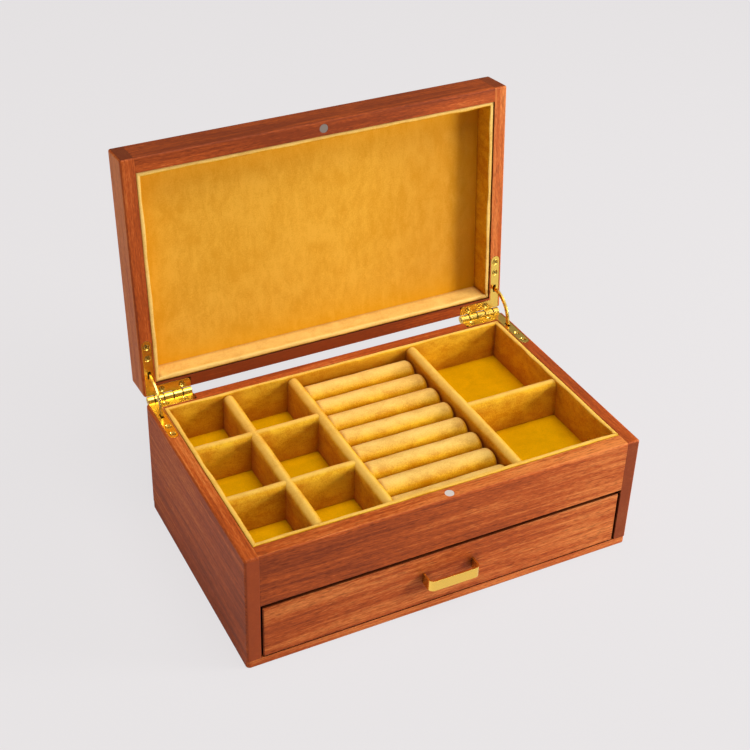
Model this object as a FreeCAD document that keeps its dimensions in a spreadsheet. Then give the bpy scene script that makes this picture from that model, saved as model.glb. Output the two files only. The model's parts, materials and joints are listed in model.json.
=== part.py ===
"""Ring box with a hinged lid, a velvet tray with ring rolls and a drawer below.

The origin is the centre of the underside. X runs across the front to the right,
Y runs from the front to the back and Z is up. Millimetres and degrees.
Pieces of the lid are drawn on the closed lid and then turned open about the pins.
"""
import FreeCAD, Part
import math
import os
import Sketcher

Vector = FreeCAD.Vector

SIZES = {
    # wooden case
    "case_width": 280.0,
    "case_depth": 171.0,
    "case_height": 88.0,
    "bottom_thickness": 6.0,
    "side_thickness": 9.5,
    "front_thickness": 10.0,
    "back_thickness": 8.5,
    "front_rail_height": 39.5,
    "edge_ease": 0.7,
    "edge_round": 1.6,
    "corner_round": 2.6,
    "tray_board_thickness": 4.0,
    "tray_board_tongue": 3.0,
    "board_fit": 0.05,
    # velvet tray
    "tray_depth": 28.0,
    "velvet_board_thickness": 2.2,
    "lining_thickness": 2.7,
    "lining_edge_round": 1.2,
    "lining_fit": 0.2,
    "lining_proud": 0.5,
    "cloth_gap": 0.2,
    "divider_thickness": 8.0,
    "divider_edge_round": 3.8,
    "divider_drop": 0.4,
    "first_cell_width": 38.3,
    "second_cell_width": 40.6,
    "ring_bay_width": 85.2,
    "grid_row_pitch": 55.0,
    "grid_row_shift": 0.5,
    "right_divider_shift": -3.5,
    # ring rolls
    "ring_roll_count": 8,
    "ring_roll_squeeze": 2.3,
    "ring_roll_drop": 6.0,
    "ring_roll_gap": 0.3,
    # lid
    "lid_height": 24.5,
    "lid_open_angle": 95.0,
    "rim_gap": 0.4,
    "lid_panel_thickness": 5.0,
    "lid_panel_rebate": 2.0,
    "lid_lining_drop": 0.8,
    # quadrant hinges
    "pin_setback": 3.5,
    "pin_radius": 1.2,
    "pin_clearance": 0.05,
    "knuckle_radius": 2.8,
    "knuckle_gap": 0.5,
    "end_knuckle_length": 5.0,
    "leaf_thickness": 1.6,
    "leaf_width": 6.6,
    "leaf_side_length": 44.0,
    "leaf_back_length": 32.0,
    "leaf_inset": 2.0,
    "leaf_back_overhang": 0.2,
    "leaf_corner_round": 3.0,
    "leaf_tip_flat": 0.02,
    "leaf_fit": 0.15,
    "leaf_slot_length": 5.8,
    "leaf_slot_width": 2.2,
    "arm_radius": 19.3,
    "arm_width": 3.0,
    "arm_thickness": 1.2,
    "arm_head_radius": 1.1,
    "arm_head_length": 3.2,
    "arm_stop_gap": 0.3,
    "mortise_side_gap": 0.3,
    "mortise_radial_gap": 0.5,
    "mortise_end_angle": 1.5,
    # magnets
    "magnet_radius": 3.0,
    "magnet_thickness": 3.0,
    "magnet_clearance": 0.05,
    "magnet_setback": 5.0,
    # drawer
    "drawer_side_gap": 1.6,
    "drawer_top_gap": 2.5,
    "drawer_bottom_gap": 0.3,
    "drawer_back_gap": 0.4,
    "drawer_front_thickness": 10.0,
    "drawer_wall_thickness": 6.0,
    "drawer_wall_drop": 8.0,
    "drawer_bottom_thickness": 3.0,
    "drawer_bottom_lift": 2.0,
    "drawer_bottom_tongue": 2.0,
    "drawer_lining_thickness": 2.0,
    "drawer_lining_drop": 0.8,
    # pull
    "pull_width": 37.0,
    "pull_reach": 10.0,
    "pull_strip_thickness": 1.2,
    "pull_strip_height": 8.0,
    "pull_corner_radius": 4.0,
    "pull_centre_lift": 2.4,
    "pull_tang_height": 5.0,
    "pull_tang_length": 5.0,
    "pull_tang_fit": 0.05,
}

# How far a cut runs on past the face that it opens.
PAST = 1.0

doc = FreeCAD.newDocument("ring_box")
sheet = doc.addObject("Spreadsheet::Sheet", "sizes")
for row, (alias, number) in enumerate(SIZES.items(), start=1):
    sheet.set(f"A{row}", alias)
    sheet.set(f"B{row}", str(number))
    sheet.setAlias(f"B{row}", alias)
doc.recompute()

pieces = []


def size(alias):
    """The number in the sheet under this alias."""
    return float(getattr(sheet, alias))


# ---------------------------------------------------------------- planes of the box
# Each name is an expression on the sheet, in brackets so that it can be used in sums.
OUTER_X = "(sizes.case_width / 2)"
INNER_X = "(sizes.case_width / 2 - sizes.side_thickness)"
FRONT_Y = "(-sizes.case_depth / 2)"
RAIL_Y = "(-sizes.case_depth / 2 + sizes.front_thickness)"
BACK_Y = "(sizes.case_depth / 2)"
BACK_INNER_Y = "(sizes.case_depth / 2 - sizes.back_thickness)"
RIM_Z = "(sizes.case_height)"
RAIL_BOTTOM_Z = "(sizes.case_height - sizes.front_rail_height)"
TRAY_FLOOR_Z = "(sizes.case_height - sizes.tray_depth)"
TRAY_BOARD_TOP_Z = f"({TRAY_FLOOR_Z} - sizes.velvet_board_thickness)"
TRAY_BOARD_LOW_Z = f"({TRAY_BOARD_TOP_Z} - sizes.tray_board_thickness)"

LINING_X = f"({INNER_X} - sizes.lining_fit)"
LINING_FRONT_Y = f"({RAIL_Y} + sizes.lining_fit)"
LINING_BACK_Y = f"({BACK_INNER_Y} - sizes.lining_fit)"
WELL_X = f"({LINING_X} - sizes.lining_thickness)"
WELL_FRONT_Y = f"({LINING_FRONT_Y} + sizes.lining_thickness)"
WELL_BACK_Y = f"({LINING_BACK_Y} - sizes.lining_thickness)"

LID_RIM_Z = "(sizes.case_height + sizes.rim_gap)"
LID_TOP_Z = f"({LID_RIM_Z} + sizes.lid_height)"
LID_PANEL_LOW_Z = f"({LID_TOP_Z} - sizes.lid_panel_thickness)"

PIN_Y = "(sizes.case_depth / 2 + sizes.pin_setback)"
PIN_Z = "(sizes.case_height + sizes.rim_gap / 2)"
LEAF_OUTER_X = "(sizes.case_width / 2 - sizes.leaf_inset)"
LEAF_INNER_X = f"({LEAF_OUTER_X} - sizes.leaf_width)"
LEAF_MID_X = f"({LEAF_OUTER_X} - sizes.leaf_width / 2)"
LEAF_END_X = f"({LEAF_OUTER_X} - sizes.leaf_back_length)"
LEAF_BACK_Y = f"({BACK_Y} + sizes.leaf_back_overhang)"
LEAF_TIP_Y = f"({LEAF_BACK_Y} - sizes.leaf_side_length + sizes.leaf_inset)"
LEAF_LEG_Y = f"({BACK_Y} - sizes.leaf_width)"
LEAF_LEG_MID_Y = f"({BACK_Y} - sizes.leaf_width / 2)"
SLOT_MID_Y = f"({PIN_Y} - sizes.arm_radius)"

DRAWER_X = f"({INNER_X} - sizes.drawer_side_gap)"
DRAWER_LOW_Z = "(sizes.bottom_thickness + sizes.drawer_bottom_gap)"
DRAWER_TOP_Z = f"({RAIL_BOTTOM_Z} - sizes.drawer_top_gap)"
DRAWER_WALL_TOP_Z = f"({DRAWER_TOP_Z} - sizes.drawer_wall_drop)"
DRAWER_FRONT_IN_Y = f"({FRONT_Y} + sizes.drawer_front_thickness)"
DRAWER_BACK_Y = f"({BACK_INNER_Y} - sizes.drawer_back_gap)"
DRAWER_BACK_IN_Y = f"({DRAWER_BACK_Y} - sizes.drawer_wall_thickness)"
DRAWER_IN_X = f"({DRAWER_X} - sizes.drawer_wall_thickness)"
DRAWER_BOARD_LOW_Z = f"({DRAWER_LOW_Z} + sizes.drawer_bottom_lift)"
DRAWER_BOARD_TOP_Z = f"({DRAWER_BOARD_LOW_Z} + sizes.drawer_bottom_thickness)"
PULL_Z = f"(({DRAWER_LOW_Z} + {DRAWER_TOP_Z}) / 2 + sizes.pull_centre_lift)"
PULL_X = "(sizes.pull_width / 2)"
PULL_IN_X = "(sizes.pull_width / 2 - sizes.pull_strip_thickness)"


# ---------------------------------------------------------------- sketches and features
def new_body(label):
    """An empty body that is one piece of the box."""
    body = doc.addObject("PartDesign::Body", label)
    body.Label = label
    pieces.append(body)
    return body


def origin_plane(body, role):
    """The body's own origin plane with this role."""
    return [feature for feature in body.Origin.OriginFeatures if feature.Role == role][0]


def new_sketch(body, role, offset):
    """A sketch on one of the body's origin planes, moved along its normal by offset."""
    sketch = body.newObject("Sketcher::SketchObject", "Sketch")
    sketch.AttachmentSupport = (origin_plane(body, role), [""])
    sketch.MapMode = "FlatFace"
    sketch.setExpression("AttachmentOffset.Base.z", offset)
    return sketch


def pin_point(sketch, geometry, vertex, across, up):
    """Hold a point of the sketch at two distances from the sketch's origin."""
    for kind, distance in (("DistanceX", across), ("DistanceY", up)):
        place = Sketcher.Constraint(kind, -1, 1, geometry, vertex, 1.0)
        number = sketch.addConstraint(place)
        sketch.setExpression(f"Constraints[{number}]", distance)


def draw_outline(sketch, points):
    """A closed outline of straight lines through points given as expressions."""
    count = len(points)
    ring = [
        Vector(math.cos(2 * math.pi * turn / count), math.sin(2 * math.pi * turn / count), 0)
        for turn in range(count)
    ]
    for turn in range(count):
        sketch.addGeometry(Part.LineSegment(ring[turn], ring[(turn + 1) % count]))
    for turn in range(count):
        sketch.addConstraint(Sketcher.Constraint("Coincident", turn, 2, (turn + 1) % count, 1))
    for turn, (across, up) in enumerate(points):
        pin_point(sketch, turn, 1, across, up)


def draw_rectangle(sketch, low_x, high_x, low_y, high_y):
    """A rectangle between four distances from the sketch's origin."""
    corners = [(low_x, low_y), (high_x, low_y), (high_x, high_y), (low_x, high_y)]
    draw_outline(sketch, corners)


def draw_circle(sketch, across, up, radius):
    """A circle with its centre held from the sketch's origin."""
    circle = sketch.addGeometry(Part.Circle(Vector(1, 1, 0), Vector(0, 0, 1), 1.0))
    pin_point(sketch, circle, 3, across, up)
    number = sketch.addConstraint(Sketcher.Constraint("Radius", circle, 1.0))
    sketch.setExpression(f"Constraints[{number}]", radius)


def draw_arch(sketch, across, low, high, width):
    """Straight sides on a flat foot, joined by a half circle of this width at the top."""
    radius = f"({width} / 2)"
    circle = Part.Circle(Vector(0, 9, 0), Vector(0, 0, 1), 4)
    top = sketch.addGeometry(Part.ArcOfCircle(circle, 0, math.pi))
    left = sketch.addGeometry(Part.LineSegment(Vector(-4, 9, 0), Vector(-4, 0, 0)))
    foot = sketch.addGeometry(Part.LineSegment(Vector(-4, 0, 0), Vector(4, 0, 0)))
    right = sketch.addGeometry(Part.LineSegment(Vector(4, 0, 0), Vector(4, 9, 0)))
    for first, second in ((top, left), (left, foot), (foot, right), (right, top)):
        sketch.addConstraint(Sketcher.Constraint("Coincident", first, 2, second, 1))
    pin_point(sketch, top, 3, across, f"{high} - {radius}")
    number = sketch.addConstraint(Sketcher.Constraint("Radius", top, 4.0))
    sketch.setExpression(f"Constraints[{number}]", radius)
    sketch.addConstraint(Sketcher.Constraint("Horizontal", top, 3, top, 1))
    sketch.addConstraint(Sketcher.Constraint("Horizontal", top, 3, top, 2))
    pin_point(sketch, foot, 1, f"{across} - {radius}", low)
    pin_point(sketch, foot, 2, f"{across} + {radius}", low)


def add_pad(body, sketch, length):
    """Pad a sketch along its normal."""
    pad = body.newObject("PartDesign::Pad", "Pad")
    pad.Profile = sketch
    pad.setExpression("Length", length)
    return pad


def add_pocket(body, sketch, depth):
    """Cut a sketch down into the body, against the sketch's normal."""
    pocket = body.newObject("PartDesign::Pocket", "Pocket")
    pocket.Profile = sketch
    pocket.setExpression("Length", depth)
    return pocket


def add_block(body, low_x, high_x, low_y, high_y, low_z, height):
    """A rectangular pad that stands on the level low_z."""
    sketch = new_sketch(body, "XY_Plane", low_z)
    draw_rectangle(sketch, low_x, high_x, low_y, high_y)
    return add_pad(body, sketch, height)


def cut_block(body, low_x, high_x, low_y, high_y, top_z, depth):
    """A rectangular recess that goes down from the level top_z."""
    sketch = new_sketch(body, "XY_Plane", top_z)
    draw_rectangle(sketch, low_x, high_x, low_y, high_y)
    return add_pocket(body, sketch, depth)


def cut_hole(body, centre_x, centre_y, radius, top_z, depth):
    """A round upright hole that goes down from the level top_z."""
    sketch = new_sketch(body, "XY_Plane", top_z)
    draw_circle(sketch, centre_x, centre_y, radius)
    return add_pocket(body, sketch, depth)


def chosen_edges(feature, wanted):
    """Names of the feature's edges for which wanted(edge) is true."""
    doc.recompute()
    edges = feature.Shape.Edges
    return [f"Edge{number}" for number, edge in enumerate(edges, start=1) if wanted(edge)]


def round_edges(body, feature, radius, wanted):
    """Fillet the chosen edges of a feature."""
    names = chosen_edges(feature, wanted)
    fillet = body.newObject("PartDesign::Fillet", "Fillet")
    fillet.Base = (feature, names)
    fillet.setExpression("Radius", radius)
    return fillet


def ease_edges(body, feature, width, wanted):
    """Break the chosen edges of a feature with a small chamfer."""
    names = chosen_edges(feature, wanted)
    chamfer = body.newObject("PartDesign::Chamfer", "EasedEdges")
    chamfer.Base = (feature, names)
    chamfer.setExpression("Size", width)
    return chamfer


def edge_span(edge):
    """The edge's length along X, Y and Z."""
    box = edge.BoundBox
    return box.XLength, box.YLength, box.ZLength


def runs_along(edge, axis):
    """True for an edge that is straight along the axis 0, 1 or 2."""
    span = edge_span(edge)
    others = [span[number] for number in range(3) if number != axis]
    return max(others) < 1e-6


def lies_at(edge, axis, place):
    """True for an edge that lies in the plane at this place along the axis."""
    box = edge.BoundBox
    low = (box.XMin, box.YMin, box.ZMin)[axis]
    high = (box.XMax, box.YMax, box.ZMax)[axis]
    return abs(low - place) < 1e-4 and abs(high - place) < 1e-4


def mirrored(source, label):
    """The same piece for the left side, mirrored in the plane X = 0."""
    twin = doc.addObject("Part::Mirroring", label)
    twin.Source = source
    twin.Normal = Vector(1, 0, 0)
    twin.Base = Vector(0, 0, 0)
    twin.Label = label
    pieces.append(twin)
    return twin


def turn_open(piece, share):
    """Turn a piece about the pins, from the closed lid by this share of the lid's angle."""
    angle = f"({share} * sizes.lid_open_angle * 1 deg)"
    piece.Placement = FreeCAD.Placement(Vector(0, 0, 0), FreeCAD.Rotation(Vector(-1, 0, 0), 1))
    piece.setExpression("Placement.Rotation.Angle", angle)
    piece.setExpression("Placement.Base.y", f"{PIN_Y} - {PIN_Y} * cos({angle}) - {PIN_Z} * sin({angle})")
    piece.setExpression("Placement.Base.z", f"{PIN_Z} + {PIN_Y} * sin({angle}) - {PIN_Z} * cos({angle})")


def open_with_lid(piece):
    """Put a piece drawn on the closed lid where the open lid holds it."""
    turn_open(piece, 1)


# ---------------------------------------------------------------- mitred velvet lining
def line_well(prefix, half_x, front_y, back_y, thickness, low_z, height, round_top):
    """Four velvet strips that stand round a well and meet in mitres."""
    in_x = f"({half_x} - {thickness})"
    in_front = f"({front_y} + {thickness})"
    in_back = f"({back_y} - {thickness})"
    outlines = {
        "front": [(f"-{half_x}", front_y), (half_x, front_y), (in_x, in_front), (f"-{in_x}", in_front)],
        "back": [(half_x, back_y), (f"-{half_x}", back_y), (f"-{in_x}", in_back), (in_x, in_back)],
        "left": [
            (f"-{half_x}", back_y),
            (f"-{half_x}", front_y),
            (f"-{in_x}", in_front),
            (f"-{in_x}", in_back),
        ],
        "right": [(half_x, front_y), (half_x, back_y), (in_x, in_back), (in_x, in_front)],
    }
    strips = []
    for side, outline in outlines.items():
        strip = new_body(f"{prefix}_{side}")
        sketch = new_sketch(strip, "XY_Plane", low_z)
        draw_outline(sketch, outline)
        pad = add_pad(strip, sketch, height)
        doc.recompute()
        box = pad.Shape.BoundBox
        rounded_z = box.ZMax if round_top else box.ZMin
        along = 0 if side in ("front", "back") else 1
        round_edges(
            strip,
            pad,
            f"min(sizes.lining_edge_round; {thickness} * 0.45)",
            lambda edge: lies_at(edge, 2, rounded_z) and runs_along(edge, along),
        )
        strips.append(strip)
    return strips


# ---------------------------------------------------------------- quadrant hinge seats
def cut_side_seat(body, seat_top_z):
    """Recess for the side leg of a leaf, with a round end for its tip."""
    tip_y = f"({LEAF_TIP_Y} + sizes.leaf_width / 2)"
    low_x = f"{LEAF_INNER_X} - sizes.leaf_fit"
    high_x = f"{LEAF_OUTER_X} + sizes.leaf_fit"
    depth = "sizes.leaf_thickness"
    past_back_y = f"{BACK_Y} + {PAST}"
    leg_y = f"{LEAF_LEG_Y} - sizes.leaf_fit"
    cut_block(body, low_x, high_x, tip_y, past_back_y, seat_top_z, depth)
    cut_block(body, f"{INNER_X} - {PAST}", high_x, leg_y, past_back_y, seat_top_z, depth)
    cut_hole(body, LEAF_MID_X, tip_y, "sizes.leaf_width / 2 + sizes.leaf_fit", seat_top_z, depth)


def cut_back_seats(body, seat_top_z):
    """Recesses for the back legs of both leaves."""
    leg_y = f"{LEAF_LEG_Y} - sizes.leaf_fit"
    past_back_y = f"{BACK_Y} + {PAST}"
    inner_end = f"({LEAF_END_X} - sizes.leaf_fit)"
    outer_end = f"({INNER_X} + {PAST})"
    for low_x, high_x in ((inner_end, outer_end), (f"-{outer_end}", f"-{inner_end}")):
        cut_block(body, low_x, high_x, leg_y, past_back_y, seat_top_z, "sizes.leaf_thickness")


# Half the arc from head to head: the heads stop under the leaves of the open lid.
HEAD_DROP = "(sizes.leaf_thickness + sizes.rim_gap / 2 + sizes.arm_head_radius + sizes.arm_stop_gap)"
ARM_REACH = f"(sizes.lid_open_angle / 2 * 1 deg + asin({HEAD_DROP} / sizes.arm_radius))"


def turned_profile(body, low_x, high_x, half_depth):
    """A rectangle on the arm's circle, with a line along the pins to turn it about."""
    sketch = new_sketch(body, "XY_Plane", PIN_Z)
    draw_rectangle(sketch, low_x, high_x, f"{SLOT_MID_Y} - {half_depth}", f"{SLOT_MID_Y} + {half_depth}")
    axis = sketch.addGeometry(Part.LineSegment(Vector(0, 9, 0), Vector(5, 9, 0)), True)
    pin_point(sketch, axis, 1, "0", PIN_Y)
    pin_point(sketch, axis, 2, OUTER_X, PIN_Y)
    return sketch


def cut_arm_mortise(body):
    """The curved mortise that the arm and its head slide in, turned about the pins."""
    half_width = "(sizes.arm_head_length / 2 + sizes.mortise_side_gap)"
    half_depth = "(sizes.arm_width / 2 + sizes.mortise_radial_gap)"
    low_x = f"{LEAF_MID_X} - {half_width}"
    high_x = f"{LEAF_MID_X} + {half_width}"
    sketch = turned_profile(body, low_x, high_x, half_depth)
    groove = body.newObject("PartDesign::Groove", "Mortise")
    groove.Profile = sketch
    groove.ReferenceAxis = (sketch, ["Axis0"])
    groove.Midplane = True
    head_angle = "asin(sizes.arm_head_radius / sizes.arm_radius)"
    groove.setExpression("Angle", f"2 * ({ARM_REACH} + {head_angle} + sizes.mortise_end_angle * 1 deg)")


# ---------------------------------------------------------------- wooden case
def make_bottom_board():
    """The board that closes the case below and carries the drawer."""
    body = new_body("bottom_board")
    pad = add_block(body, f"-{OUTER_X}", OUTER_X, FRONT_Y, BACK_Y, "0", "sizes.bottom_thickness")
    rounded = round_edges(body, pad, "sizes.corner_round", lambda edge: runs_along(edge, 2))
    ease_edges(body, rounded, "sizes.edge_ease", lambda edge: lies_at(edge, 2, 0))


def make_sides():
    """The side boards, with grooves for the tray board and seats for the hinges."""
    right = new_body("right_side")
    height = f"{RIM_Z} - sizes.bottom_thickness"
    pad = add_block(right, INNER_X, OUTER_X, FRONT_Y, BACK_Y, "sizes.bottom_thickness", height)
    outer = size("case_width") / 2
    rim = size("case_height")
    front = -size("case_depth") / 2
    round_edges(
        right,
        pad,
        "sizes.edge_round",
        lambda edge: (lies_at(edge, 0, outer) and (runs_along(edge, 2) or lies_at(edge, 2, rim)))
        or (lies_at(edge, 2, rim) and lies_at(edge, 1, front)),
    )
    cut_block(
        right,
        f"{INNER_X} - {PAST}",
        f"{INNER_X} + sizes.tray_board_tongue + sizes.board_fit",
        f"{RAIL_Y} - sizes.tray_board_tongue",
        f"{BACK_INNER_Y} + sizes.tray_board_tongue",
        TRAY_BOARD_TOP_Z,
        "sizes.tray_board_thickness",
    )
    cut_side_seat(right, RIM_Z)
    cut_arm_mortise(right)
    mirrored(right, "left_side")


def make_front_rail():
    """The rail over the drawer, between the sides, with the magnet's hole in its rim."""
    body = new_body("front_rail")
    pad = add_block(body, f"-{INNER_X}", INNER_X, FRONT_Y, RAIL_Y, RAIL_BOTTOM_Z, "sizes.front_rail_height")
    front = -size("case_depth") / 2
    rim = size("case_height")
    rounded = round_edges(
        body, pad, "sizes.edge_round", lambda edge: lies_at(edge, 1, front) and lies_at(edge, 2, rim)
    )
    low = rim - size("front_rail_height")
    ease_edges(
        body, rounded, "sizes.edge_ease", lambda edge: lies_at(edge, 1, front) and lies_at(edge, 2, low)
    )
    cut_block(
        body,
        f"-{INNER_X} - {PAST}",
        f"{INNER_X} + {PAST}",
        f"{RAIL_Y} - sizes.tray_board_tongue - sizes.board_fit",
        f"{RAIL_Y} + {PAST}",
        TRAY_BOARD_TOP_Z,
        "sizes.tray_board_thickness",
    )
    cut_hole(
        body,
        "0",
        f"{FRONT_Y} + sizes.magnet_setback",
        "sizes.magnet_radius + sizes.magnet_clearance",
        RIM_Z,
        "sizes.magnet_thickness",
    )


def make_back_board():
    """The back of the case, between the sides, with seats for the hinges' back legs."""
    body = new_body("back_board")
    height = f"{RIM_Z} - sizes.bottom_thickness"
    pad = add_block(body, f"-{INNER_X}", INNER_X, BACK_INNER_Y, BACK_Y, "sizes.bottom_thickness", height)
    back = size("case_depth") / 2
    rim = size("case_height")
    ease_edges(
        body,
        pad,
        "sizes.edge_ease",
        lambda edge: lies_at(edge, 1, back) and lies_at(edge, 2, rim),
    )
    cut_block(
        body,
        f"-{INNER_X} - {PAST}",
        f"{INNER_X} + {PAST}",
        f"{BACK_INNER_Y} - {PAST}",
        f"{BACK_INNER_Y} + sizes.tray_board_tongue + sizes.board_fit",
        TRAY_BOARD_TOP_Z,
        "sizes.tray_board_thickness",
    )
    cut_back_seats(body, RIM_Z)


def make_tray_board():
    """The board under the tray, let into grooves all round."""
    body = new_body("tray_board")
    half_x = f"({INNER_X} + sizes.tray_board_tongue)"
    add_block(
        body,
        f"-{half_x}",
        half_x,
        f"{RAIL_Y} - sizes.tray_board_tongue",
        f"{BACK_INNER_Y} + sizes.tray_board_tongue",
        TRAY_BOARD_LOW_Z,
        "sizes.tray_board_thickness",
    )


def make_magnet(label, low_z):
    """A round magnet let into the middle of a front rim."""
    magnet = new_body(label)
    sketch = new_sketch(magnet, "XY_Plane", low_z)
    draw_circle(sketch, "0", f"{FRONT_Y} + sizes.magnet_setback", "sizes.magnet_radius")
    add_pad(magnet, sketch, "sizes.magnet_thickness")
    return magnet


# ---------------------------------------------------------------- velvet tray
DIVIDER_LOW_Z = f"({TRAY_FLOOR_Z} + sizes.cloth_gap)"
DIVIDER_TOP_Z = f"({RIM_Z} - sizes.divider_drop)"
DIVIDER_MID_Z = f"(({DIVIDER_LOW_Z} + {DIVIDER_TOP_Z}) / 2)"
DIVIDER_HEIGHT = f"({DIVIDER_TOP_Z} - {DIVIDER_LOW_Z})"
HALF_DIVIDER = "(sizes.divider_thickness / 2)"
DIVIDER_ROUND = "min(sizes.divider_edge_round; sizes.divider_thickness * 0.48)"
GRID_DIVIDER_X = f"(-{WELL_X} + sizes.first_cell_width + {HALF_DIVIDER})"
LEFT_RING_DIVIDER_X = f"({GRID_DIVIDER_X} + sizes.second_cell_width + sizes.divider_thickness)"
RIGHT_RING_DIVIDER_X = f"({LEFT_RING_DIVIDER_X} + sizes.ring_bay_width + sizes.divider_thickness)"
ROW_BACK_Y = "(sizes.grid_row_shift + sizes.grid_row_pitch / 2)"
ROW_FRONT_Y = "(sizes.grid_row_shift - sizes.grid_row_pitch / 2)"


def make_floor(label, half_x, front_y, back_y, low_z):
    """A velvet-covered board that lies between the lining strips."""
    body = new_body(label)
    gap = "sizes.cloth_gap"
    add_block(
        body,
        f"-{half_x} + {gap}",
        f"{half_x} - {gap}",
        f"{front_y} + {gap}",
        f"{back_y} - {gap}",
        low_z,
        "sizes.velvet_board_thickness",
    )
    return body


def make_long_divider(label, centre_x, notches):
    """A divider from front to back; the cross dividers lie in notches in its top."""
    body = new_body(label)
    pad = add_block(
        body,
        f"{centre_x} - {HALF_DIVIDER}",
        f"{centre_x} + {HALF_DIVIDER}",
        f"{WELL_FRONT_Y} + sizes.cloth_gap",
        f"{WELL_BACK_Y} - sizes.cloth_gap",
        DIVIDER_LOW_Z,
        DIVIDER_HEIGHT,
    )
    top = size("case_height") - size("divider_drop")
    round_edges(
        body, pad, DIVIDER_ROUND, lambda edge: lies_at(edge, 2, top) and runs_along(edge, 1)
    )
    for notch_y in notches:
        cut_block(
            body,
            f"{centre_x} - {HALF_DIVIDER} - {PAST}",
            f"{centre_x} + {HALF_DIVIDER} + {PAST}",
            f"{notch_y} - {HALF_DIVIDER} - sizes.board_fit",
            f"{notch_y} + {HALF_DIVIDER} + sizes.board_fit",
            DIVIDER_TOP_Z,
            f"{DIVIDER_TOP_Z} - {DIVIDER_MID_Z} + sizes.board_fit",
        )


def make_cross_divider(label, centre_y, low_x, high_x, notches):
    """A divider from side to side; notches in its foot ride over the long divider."""
    body = new_body(label)
    pad = add_block(
        body,
        f"{low_x} + sizes.cloth_gap",
        f"{high_x} - sizes.cloth_gap",
        f"{centre_y} - {HALF_DIVIDER}",
        f"{centre_y} + {HALF_DIVIDER}",
        DIVIDER_LOW_Z,
        DIVIDER_HEIGHT,
    )
    top = size("case_height") - size("divider_drop")
    round_edges(
        body, pad, DIVIDER_ROUND, lambda edge: lies_at(edge, 2, top) and runs_along(edge, 0)
    )
    for notch_x in notches:
        cut_block(
            body,
            f"{notch_x} - {HALF_DIVIDER} - sizes.board_fit",
            f"{notch_x} + {HALF_DIVIDER} + sizes.board_fit",
            f"{centre_y} - {HALF_DIVIDER} - {PAST}",
            f"{centre_y} + {HALF_DIVIDER} + {PAST}",
            DIVIDER_MID_Z,
            f"{DIVIDER_MID_Z} - {DIVIDER_LOW_Z}",
        )


def make_dividers():
    """The grid of six cells, the ring bay and the two cells on the right."""
    make_long_divider("grid_divider", GRID_DIVIDER_X, [ROW_BACK_Y, ROW_FRONT_Y])
    make_long_divider("ring_divider_left", LEFT_RING_DIVIDER_X, [])
    make_long_divider("ring_divider_right", RIGHT_RING_DIVIDER_X, [])
    grid_end = f"({LEFT_RING_DIVIDER_X} - {HALF_DIVIDER})"
    make_cross_divider("grid_cross_divider_back", ROW_BACK_Y, f"-{WELL_X}", grid_end, [GRID_DIVIDER_X])
    make_cross_divider("grid_cross_divider_front", ROW_FRONT_Y, f"-{WELL_X}", grid_end, [GRID_DIVIDER_X])
    right_start = f"({RIGHT_RING_DIVIDER_X} + {HALF_DIVIDER})"
    make_cross_divider("right_cross_divider", "sizes.right_divider_shift", right_start, WELL_X, [])


def make_ring_rolls():
    """Foam rolls that fill the ring bay; the last is pressed flat by the front lining."""
    depth = f"({WELL_BACK_Y} - {WELL_FRONT_Y})"
    pitch = f"(({depth} + sizes.ring_roll_squeeze) / sizes.ring_roll_count)"
    low_x = f"({LEFT_RING_DIVIDER_X} + {HALF_DIVIDER} + sizes.cloth_gap)"
    high_x = f"({RIGHT_RING_DIVIDER_X} - {HALF_DIVIDER} - sizes.cloth_gap)"
    count = int(size("ring_roll_count"))
    for turn in range(count):
        body = new_body(f"ring_roll_{turn + 1}")
        centre_y = f"({WELL_BACK_Y} - {pitch} * {turn + 0.5})"
        sketch = new_sketch(body, "YZ_Plane", low_x)
        draw_arch(
            sketch,
            centre_y,
            DIVIDER_LOW_Z,
            f"({RIM_Z} - sizes.ring_roll_drop)",
            f"({pitch} - sizes.ring_roll_gap)",
        )
        add_pad(body, sketch, f"{high_x} - {low_x}")
        if turn == count - 1 and size("ring_roll_squeeze") > 0:
            cut_block(
                body,
                f"{low_x} - {PAST}",
                f"{high_x} + {PAST}",
                FRONT_Y,
                f"{WELL_FRONT_Y} + sizes.cloth_gap",
                RIM_Z,
                "sizes.tray_depth",
            )


# ---------------------------------------------------------------- quadrant hinges
def knuckle_spans():
    """The five knuckles as pairs of distances in X, from the outer end inwards."""
    pitch = "((sizes.leaf_back_length - sizes.end_knuckle_length) / 4)"
    ends = [LEAF_OUTER_X]
    ends += [f"({LEAF_OUTER_X} - sizes.end_knuckle_length - {turn} * {pitch})" for turn in range(5)]
    return [(ends[number + 1], ends[number]) for number in range(5)]


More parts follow.
